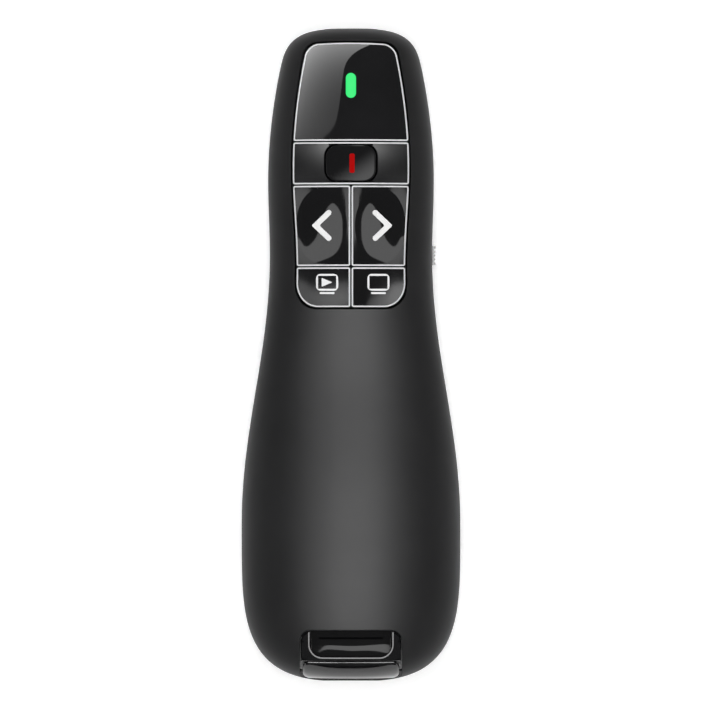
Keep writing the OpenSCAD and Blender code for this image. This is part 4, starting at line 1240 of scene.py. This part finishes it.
# the pocket's edge, from its front on the right round to its front on the left
def pocketPath(grow=0.0, front=head["front"]):
    half, foot, r = head["pocketHalf"] + grow, head["pocketFoot"] - grow, head["pocketRound"] + grow
    right = [(half, front)] + [
        (half - r + r * math.cos(a), foot + r - r * math.sin(a)) for a in np.linspace(0, np.pi / 2, 14)]
    return np.array(right + [(-x, y) for x, y in right[::-1]])


# a form of the head, down to the receiver's underside
def headPart(name, outline, topAt, rim, step):
    return plate(name, outline, topAt, flat(receiver["z"]), (finish["window"],), rim=rim, step=step)


rightSide, leftSide = headSides(head["lipTop"] + 0.1)
cradle = np.concatenate([rightSide, pocketPath(front=rightSide[-1][1]), leftSide])
cradleRim = ((0, 0.2), (0.03, 0.1), (0.08, 0.04), (0.15, 0))
receiverHead = headPart("receiverHead", cradle, sunkTop, cradleRim, 0.3)
receiverTray = headPart("receiverTray", pocketPath(0.1), trayTop, ((0, 0.02), (0.02, 0)), 0.2)
ramp = [(head["rampFootHalf"], head["rampFoot"]), (head["rampFrontHalf"], head["front"]),
        (-head["rampFrontHalf"], head["front"]), (-head["rampFootHalf"], head["rampFoot"])]
receiverRamp = headPart("receiverRamp", ramp, rampTop, ((0, 0.2), (0.05, 0.05), (0.14, 0)), 0.4)
bead = pocketPath(0.1)
bead = np.concatenate([np.linspace(bead[k], bead[k + 1], 8)[:-1] for k in range(len(bead) - 1)] + [bead[-1:]])
beadPath = np.column_stack([bead, sunkTop(bead[:, 0], bead[:, 1])])
receiverBead = tube("receiverBead", beadPath, head["bead"], (finish["window"],))
lipRing = boxLoop(0, (head["lipTop"] + head["end"]) / 2, 2 * head["lipHalf"], head["lipTop"] - head["end"],
                  head["lipCorner"], 12)
lipRing = [(x, y if y > head["lipTop"] - head["lipRound"] else max(y, head["end"])) for x, y in lipRing]
lipRim = ((0, 0.45), (0.04, 0.32), (0.14, 0.2), (0.26, 0.11), (0.4, 0.04), (0.55, 0))
receiverLip = headPart("receiverLip", lipRing, lipTopAt, lipRim, 0.25)
for piece in (receiverTray, receiverRamp, receiverBead, receiverLip):
    dress(piece, "receiver", "key_gloss")
bodyBack = head["front"] - head["overlap"]
bodyFront = receiver["end"] + receiver["length"] - receiver["collar"]
bodyLoop = boxLoop(0, (bodyBack + bodyFront) / 2, receiver["width"], bodyFront - bodyBack,
                   receiver["bodyCorner"], 4)
receiverBody = prism("receiverBody", bodyLoop, receiver["z"], receiver["z"] + receiver["height"])
receiverBody.data.materials.append(finish["gloss"])
sharpen(receiverBody, 30)
dress(receiverHead, "receiver", "key_gloss", "receiver_cap")
dress(receiverBody, "receiver", "key_gloss")

# finishes of the solids that stay as they are

print("inner pieces")
carried = {
    "carrier": ("keypad_carrier", "battery_tray"),
    "white": ("laser_plunger", "back_plunger", "forward_plunger", "slideshow_plunger", "screen_plunger",
              "receiver_tongue"),
    "switch": ("key_switches",),
    "board": ("main_board", "laser_board", "receiver_board"),
    "steel": ("board_screws", "case_screws", "clock_crystal", "power_switch", "battery_springs",
              "receiver_plug"),
    "led": ("status_led",),
    "chip": ("radio_chip",),
    "brass": ("laser_barrel",),
    "lens": ("laser_lens",),
    "redWire": ("laser_leads",),
    "blackWire": ("battery_leads",),
    "knob": ("power_knob",),
    "sleeve": ("left_cell", "right_cell"),
    "plated": ("battery_contacts",),
    "gold": ("receiver_contacts",),
    "gloss": ("receiver_collar",),
    "lowerShell": ("battery_door",),
}
for look, nodes in carried.items():
    for node in nodes:
        dressNode(node, finish[look])

# camera, stage and light

print("stage")
view = {"distance": 1.4, "lens": 394.7, "x": 0.0016, "y": -0.00044, "aim": 0.012}      # straight from above
lensData = bpy.data.cameras.new("viewCamera")
lensData.sensor_width = 36
lensData.lens = view["lens"]
lensData.clip_end = 50
cameraPiece = bpy.data.objects.new("viewCamera", lensData)
cameraPiece.location = (view["x"], view["y"], view["aim"] + view["distance"])
bpy.context.scene.collection.objects.link(cameraPiece)
bpy.context.scene.camera = cameraPiece

stage = {
    "floorHalf": 3.0, "wallHeight": 0.5, "wallParts": 48,
    "floorColor": (0.88, 0.88, 0.88), "floorPale": (0.8888, 0.8888, 0.8888),
    "glow": 0.36,              # the floor's own light, for what sees it
    "world": 0.13,
}


# near for light on the object, far for what a lens, a mirror or glass sees
def seenOnly(nodes, links, near, far):
    path = nodes.new("ShaderNodeLightPath")
    either = path.outputs["Is Camera Ray"]
    for other in ("Is Glossy Ray", "Is Transmission Ray"):
        most = nodes.new("ShaderNodeMath")
        most.operation = "MAXIMUM"
        links.new(either, most.inputs[0])
        links.new(path.outputs[other], most.inputs[1])
        either = most.outputs[0]
    span = nodes.new("ShaderNodeMapRange")
    span.inputs["To Min"].default_value = near
    span.inputs["To Max"].default_value = far
    links.new(either, span.inputs["Value"])
    return span.outputs["Result"]


def floorFinish():
    material, nodes, links, shader = newFinish("paleFloor")
    grain = addNoise(nodes, links, 60, 3)
    tone = addBlend(nodes, links, grain, stage["floorColor"], stage["floorPale"])
    links.new(tone, shader.inputs["Base Color"])
    shader.inputs["Roughness"].default_value = 1
    shader.inputs["Specular IOR Level"].default_value = 0
    shader.inputs["Emission Color"].default_value = (1, 1, 1, 1)
    links.new(seenOnly(nodes, links, 0, stage["glow"]), shader.inputs["Emission Strength"])
    side = nodes.new("ShaderNodeNewGeometry")      # from below, the floor isn't there
    clear = nodes.new("ShaderNodeBsdfTransparent")
    blend = nodes.new("ShaderNodeMixShader")
    links.new(side.outputs["Backfacing"], blend.inputs["Fac"])
    links.new(shader.outputs[0], blend.inputs[1])
    links.new(clear.outputs[0], blend.inputs[2])
    links.new(blend.outputs[0], nodes["Material Output"].inputs["Surface"])
    return material


def backdropFinish():
    material, nodes, links, shader = newFinish("paleBackdrop")
    nodes.remove(shader)
    glow = nodes.new("ShaderNodeEmission")
    links.new(seenOnly(nodes, links, stage["world"], 1), glow.inputs["Strength"])
    links.new(glow.outputs[0], nodes["Material Output"].inputs["Surface"])
    return material


half = stage["floorHalf"]
floorPiece = makePiece("floor", [(-half, -half, 0), (half, -half, 0), (half, half, 0), (-half, half, 0)],
                       [(0, 1, 2, 3)], (floorFinish(),))
wall = circleLoop(0, 0, half, stage["wallParts"])
wallPiece = makePiece("backdrop", [(x, y, z) for z in (-0.001, stage["wallHeight"]) for x, y in wall],
                      ringFaces(2, len(wall)), (backdropFinish(),))

world = bpy.data.worlds.new("room")
bpy.context.scene.world = world
world.use_nodes = True
sky = world.node_tree.nodes["Background"]
sky.inputs["Color"].default_value = (1, 1, 1, 1)
sky.inputs["Strength"].default_value = stage["world"]


# shines or shows on the given pieces alone with INCLUDE, on all but them with EXCLUDE
def link(holder, pieces, state):
    group = bpy.data.collections.new(holder.name + "Receivers")
    holder.light_linking.receiver_collection = group
    for p in pieces:
        group.objects.link(p)
    for entry in group.collection_objects:
        entry.light_linking.link_state = state


# an oblong lamp that shines at the middle of the floor
def addLamp(name, place, width, length, radiance):
    lamp = bpy.data.lights.new(name, "AREA")
    lamp.shape = "RECTANGLE"
    lamp.size, lamp.size_y = width, length
    lamp.energy = radiance * math.pi * width * length
    holder = bpy.data.objects.new(name, lamp)
    holder.location = place
    holder.rotation_euler = (Vector((0, 0, 0)) - Vector(place)).to_track_quat("-Z", "Y").to_euler()
    holder.visible_camera = False
    bpy.context.scene.collection.objects.link(holder)
    return holder


glossy = [o for o in bpy.data.objects if o.type == "MESH" and o.name.startswith(
    ("statusWindow", "pointerB", "back_key", "forward_key", "slideshow_key", "screen_key", "receiver",
     "keypad_carrier"))]
lamps = {
    "stripWidth": 0.24, "stripLength": 1.8, "stripAt": (0, 0, 1.0),
    "strip": 9.0,              # lights the colour of the matt pieces
    "glint": 58.0,             # the same lamp as their gloss sees it
    "softWidth": 1.0, "softLength": 1.8, "softAt": (0, 0, 1.6), "soft": 3.5,
    "fillWidth": 0.9, "fillLength": 1.6, "fillX": 0.9, "fillY": 0.1, "fillZ": 1.5, "fill": 0.75,
}
strip = addLamp("overheadStrip", lamps["stripAt"], lamps["stripWidth"], lamps["stripLength"], lamps["strip"])
strip.visible_glossy = False
glint = addLamp("overheadGlint", lamps["stripAt"], lamps["stripWidth"], lamps["stripLength"], lamps["glint"])
glint.visible_diffuse = False
softTop = addLamp("softTop", lamps["softAt"], lamps["softWidth"], lamps["softLength"], lamps["soft"])
softTop.visible_glossy = False
for lamp, state in ((strip, "EXCLUDE"), (glint, "EXCLUDE"), (softTop, "INCLUDE")):
    link(lamp, glossy, state)
for s in (-1, 1):
    fill = addLamp("fill", (s * lamps["fillX"], lamps["fillY"], lamps["fillZ"]), lamps["fillWidth"],
                   lamps["fillLength"], lamps["fill"])
    fill.visible_glossy = False

# cards that only the glossy pieces mirror: each is laid out on its key in mm
# and carried along the mirrored rays to a ball around the object
card = {
    "radius": 0.25, "middle": (0, 0.03, 0.02), "grid": 0.6,
    "share": 0.042,            # what the gloss gives back
    "bandY": -0.053,           # middle of the bands round the tail
    "mirrorScale": -0.9, "mirrorShift": 0.5,      # the right keys' shapes from the left keys'
}


# where the rays from the camera meet the ball after the gloss has mirrored them
def mirroredSpots(topAt, p):
    x, y = p[:, 0], p[:, 1]
    n = surfaceNormal(topAt, x, y)
    spot = np.column_stack([x, y, topAt(x, y)]) * mm
    ray = unit(spot - np.array(cameraPiece.location))
    ray -= 2 * np.sum(ray * n, axis=1)[:, None] * n
    off = spot - np.array(card["middle"])
    b = np.sum(ray * off, axis=1)
    reach = np.sqrt(b * b - np.sum(off * off, axis=1) + card["radius"] ** 2) - b
    return spot + ray * reach[:, None]


def cardFinish():
    material, nodes, links, shader = newFinish("mirroredCard")
    nodes.remove(shader)
    level = nodes.new("ShaderNodeAttribute")
    level.attribute_name = "level"
    glow = nodes.new("ShaderNodeEmission")
    links.new(level.outputs["Fac"], glow.inputs["Strength"])
    clear = nodes.new("ShaderNodeBsdfTransparent")
    both = nodes.new("ShaderNodeAddShader")
    links.new(glow.outputs[0], both.inputs[0])
    links.new(clear.outputs[0], both.inputs[1])
    links.new(both.outputs[0], nodes["Material Output"].inputs["Surface"])
    material.cycles.emission_sampling = "NONE"
    return material


cardGlow = cardFinish()


def layCard(name, points, faces, levels, pieces):      # levels: how bright it is at each point
    mesh = bpy.data.meshes.new(name)
    mesh.from_pydata(points, [], faces)
    mesh.materials.append(cardGlow)
    mesh.attributes.new("level", "FLOAT", "POINT").data.foreach_set("value", np.array(levels, np.float32))
    piece = bpy.data.objects.new(name, mesh)
    bpy.context.scene.collection.objects.link(piece)
    piece.visible_camera = piece.visible_diffuse = piece.visible_shadow = piece.visible_transmission = False
    link(piece, pieces, "INCLUDE")


# a card in the shape that it shows on a surface
def addCard(name, loop, topAt, levelAt, pieces):
    ring = resample(turned(np.asarray(loop, float)), 0.5)
    spots = gridSpots([ring], card["grid"], card["grid"] * 0.4)
    p = np.concatenate([ring, spots])
    levels = np.maximum(levelAt(p[:, 0], p[:, 1]) / card["share"], 0)
    faces = triangles([ring.tolist()], spots.tolist())
    layCard(name, mirroredSpots(topAt, p).tolist(), faces, levels, pieces)


# a band round the tail, or round a part of it, for the edges of the receiver's head
def addBand(name, pieces, radius, low, high, levels, start=0.0, end=2 * math.pi, lid=False, parts=61):
    a = np.linspace(start, end, parts)
    points = [(radius * math.cos(t), radius * math.sin(t) + card["bandY"], z) for z in (low, high) for t in a]
    faces = [(k, k + 1, parts + k + 1, parts + k) for k in range(parts - 1)]
    if lid:
        faces.append(tuple(range(parts, 2 * parts - 1)))
    layCard(name, points, faces, np.repeat(levels, parts), pieces)


# one brightness all over
def evenly(level):
    return lambda x, y: np.full(np.shape(x), float(level))


# how bright each card is, at a place on its key
windowShine = {"base": 0.028, "front": 0.2, "frontPower": 5, "edge": 0.05, "edgeRise": 0.19, "edgeReach": 3.2}
bezelShine = {
    "level": 0.27, "sideGap": 0.6, "sideReach": 3.4, "sidePower": 1.3, "downReach": 2.6, "downPower": 1.5,
    "footLevel": 0.03, "footX": 10.2, "footReachX": 5.0, "footReachY": 1.8,
}
pointerShine = {"level": 0.084, "slant": 1.5, "startX": -0.8, "width": 7.5, "inset": 0.3}
slideshowShine = {"level": 0.075, "spot": 0.06, "spotX": -2.5, "spotY": 9.6, "reachX": 4.0, "reachY": 1.6}
screenShine = {"level": 0.05, "rise": 0.12, "startX": 2.5, "width": 5.0}


def windowGlow(x, y):
    up = (y - windowFoot) / pad["windowLength"]
    inward = x + padEdge(np.minimum(y, padTop - pad["corner"]))
    front = windowShine["front"] * clamp01(up) ** windowShine["frontPower"]
    edge = windowShine["edge"] + windowShine["edgeRise"] * up
    return windowShine["base"] + front + edge * np.exp(-inward / windowShine["edgeReach"])


def bezelGlow(x, y):
    shine = bezelShine
    aside = np.maximum(np.abs(x) - pointer["width"] / 2 + shine["sideGap"], 0) / shine["sideReach"]
    down = bezelTop - y
    under = np.maximum(down, 0) / shine["downReach"]
    fromEdge = (np.abs(x) - shine["footX"]) / shine["footReachX"]
    fromFoot = (down - pad["bezelLength"]) / shine["footReachY"]
    return (shine["level"] * np.exp(-aside ** shine["sidePower"] - under ** shine["downPower"])
            + shine["footLevel"] * np.exp(-fromEdge ** 2 - fromFoot ** 2))


def pointerGlow(x, y):
    t = clamp01((x - pointerShine["slant"] * (y - bezelY) - pointerShine["startX"]) / pointerShine["width"])
    return pointerShine["level"] * t * t * (3 - 2 * t)


def slideshowGlow(x, y):
    shine = slideshowShine
    aside, along = (x - shine["spotX"]) / shine["reachX"], (y - shine["spotY"]) / shine["reachY"]
    return shine["level"] + shine["spot"] * np.exp(-aside ** 2 - along ** 2)


def screenGlow(x, y):
    t = clamp01((x - screenShine["startX"]) / screenShine["width"])
    return screenShine["level"] + screenShine["rise"] * t


windowEdge = [(4.2, 54.9), (2.18, 54.07), (0.77, 53.26), (-0.44, 52.15), (-1.15, 50.72), (-1.45, 48.91),
              (-1.76, 46.07), (-2.17, 43.24), (-2.57, 41.23), (-3.07, 40.02), (-3.88, 39.01), (-4.69, 38.31),
              (-5.6, 37.6), (-10.6, 37.6), (-10.2, 44.5), (-9.4, 51.5), (-8.6, 54.9)]
bezelSide = [(3.9, 29.9), (10.6, 29.9), (10.6, 37.5), (3.9, 37.5)]
# the direction keys mirror an arch: a crescent in the hollow and pale corners around it
crescent = [(-10.5, 20.9), (-9.5, 20.9), (-9.05, 20.4), (-8.6, 19.6), (-8.12, 19.0), (-7.47, 19.1),
            (-7.0, 19.55), (-6.38, 20.2), (-5.97, 20.95), (-5.3, 22.9), (-4.74, 24.7), (-4.04, 26.1),
            (-3.33, 26.69), (-2.87, 26.57), (-2.1, 25.66), (-1.53, 24.2), (-1.46, 22.3), (-1.53, 20.1),
            (-2.26, 18.3), (-3.16, 17.4), (-4.32, 16.86), (-5.8, 16.3), (-7.0, 15.9), (-10.5, 15.9)]
margin = [(-6.77, 29.9), (-6.9, 22), (-5, 18), (-4.2, 15.4), (-10.9, 15.4), (-10.9, 29.9)]
blade = [(-1.85, 29.9), (-1.4, 28.8), (-0.9, 27.2), (-0.9, 22), (-0.3, 20.3), (-0.1, 19.6), (0.3, 19.6),
         (0.3, 29.9)]
slideshowEdge = [(-9.5, 13.45), (-8.8, 13.0), (-7.9, 12.57), (-7.03, 11.9), (-5.8, 11.7), (-4.4, 11.75),
                 (-3.3, 12.0), (-2.45, 12.45), (-1.75, 12.75), (-0.87, 12.75), (0.3, 12.45), (0.3, 7.9),
                 (-9.5, 7.9)]
screenEdge = [(2.3, 7.9), (2.65, 8.6), (3.5, 10.05), (5.2, 10.8), (6.36, 11.1), (7.1, 12.0), (7.6, 12.4),
              (8.9, 12.65), (10, 12.7), (10, 7.9)]
wave = [(-5.8, -52.72), (-5.3, -51.98), (-4.5, -51.28), (-2.06, -51.41), (0.55, -51.5), (3.8, -51.3),
        (6.7, -51.04), (6.95, -52.15), (6.5, -52.83), (5.27, -52.47), (3.97, -52.28), (2.18, -52.26),
        (0.22, -52.35), (-1.26, -52.22), (-2.72, -52.12), (-4.03, -52.0), (-5.0, -52.2)]


def mirrorRight(loop):
    return [(card["mirrorScale"] * x + card["mirrorShift"], y) for x, y in loop]


addCard("windowCard", softer(windowEdge), windowTop, windowGlow, [statusWindow])
for s in (-1, 1):
    addCard("bezelCard", [(s * x, y) for x, y in bezelSide], crownZ, bezelGlow, [bezel])
for s, node in ((-1, "back_key"), (1, "forward_key")):
    for part, piece, loop, topAt, level in (
            ("Crescent", "Well", crescent, wellTopAt(s), 0.088),
            ("Margin", "Cap", margin, crownZ, 0.08),
            ("Blade", "Cap", blade, crownZ, 0.08)):
        shape = softer(loop if s < 0 else mirrorRight(loop))
        addCard(node + part, shape, topAt, evenly(level), [bpy.data.objects[node + piece]])
addCard("slideshowCard", softer(slideshowEdge), crownZ, slideshowGlow, [bpy.data.objects["slideshow_keyCap"]])
addCard("screenCard", softer(screenEdge), crownZ, screenGlow, [bpy.data.objects["screen_keyCap"]])
addCard("pocketCard", softer(wave), trayTop, evenly(0.1), [receiverTray])
link(wallPiece, [receiverHead, receiverTray, receiverRamp, receiverLip], "EXCLUDE")
addBand("lipBand", [receiverLip], radius=0.25, low=0.12, high=0.8, levels=(8.0, 8.0), start=0.1,
        end=math.pi - 0.1)
addBand("beadBand", [receiverBead], radius=0.26, low=0.02, high=0.3, levels=(3.0, 8.0), lid=True)
addBand("rampBand", [receiverRamp], radius=0.27, low=0.02, high=0.12, levels=(0.8, 0.8))
pointerShape = boxLoop(0, bezelY, pointer["width"] - pointerShine["inset"],
                       pointer["length"] - pointerShine["inset"], pointer["corner"])
addCard("pointerCard", pointerShape, pointerTop, pointerGlow, [pointerButton])

bpy.context.scene.view_settings.view_transform = "Standard"
bpy.context.view_layer.update()
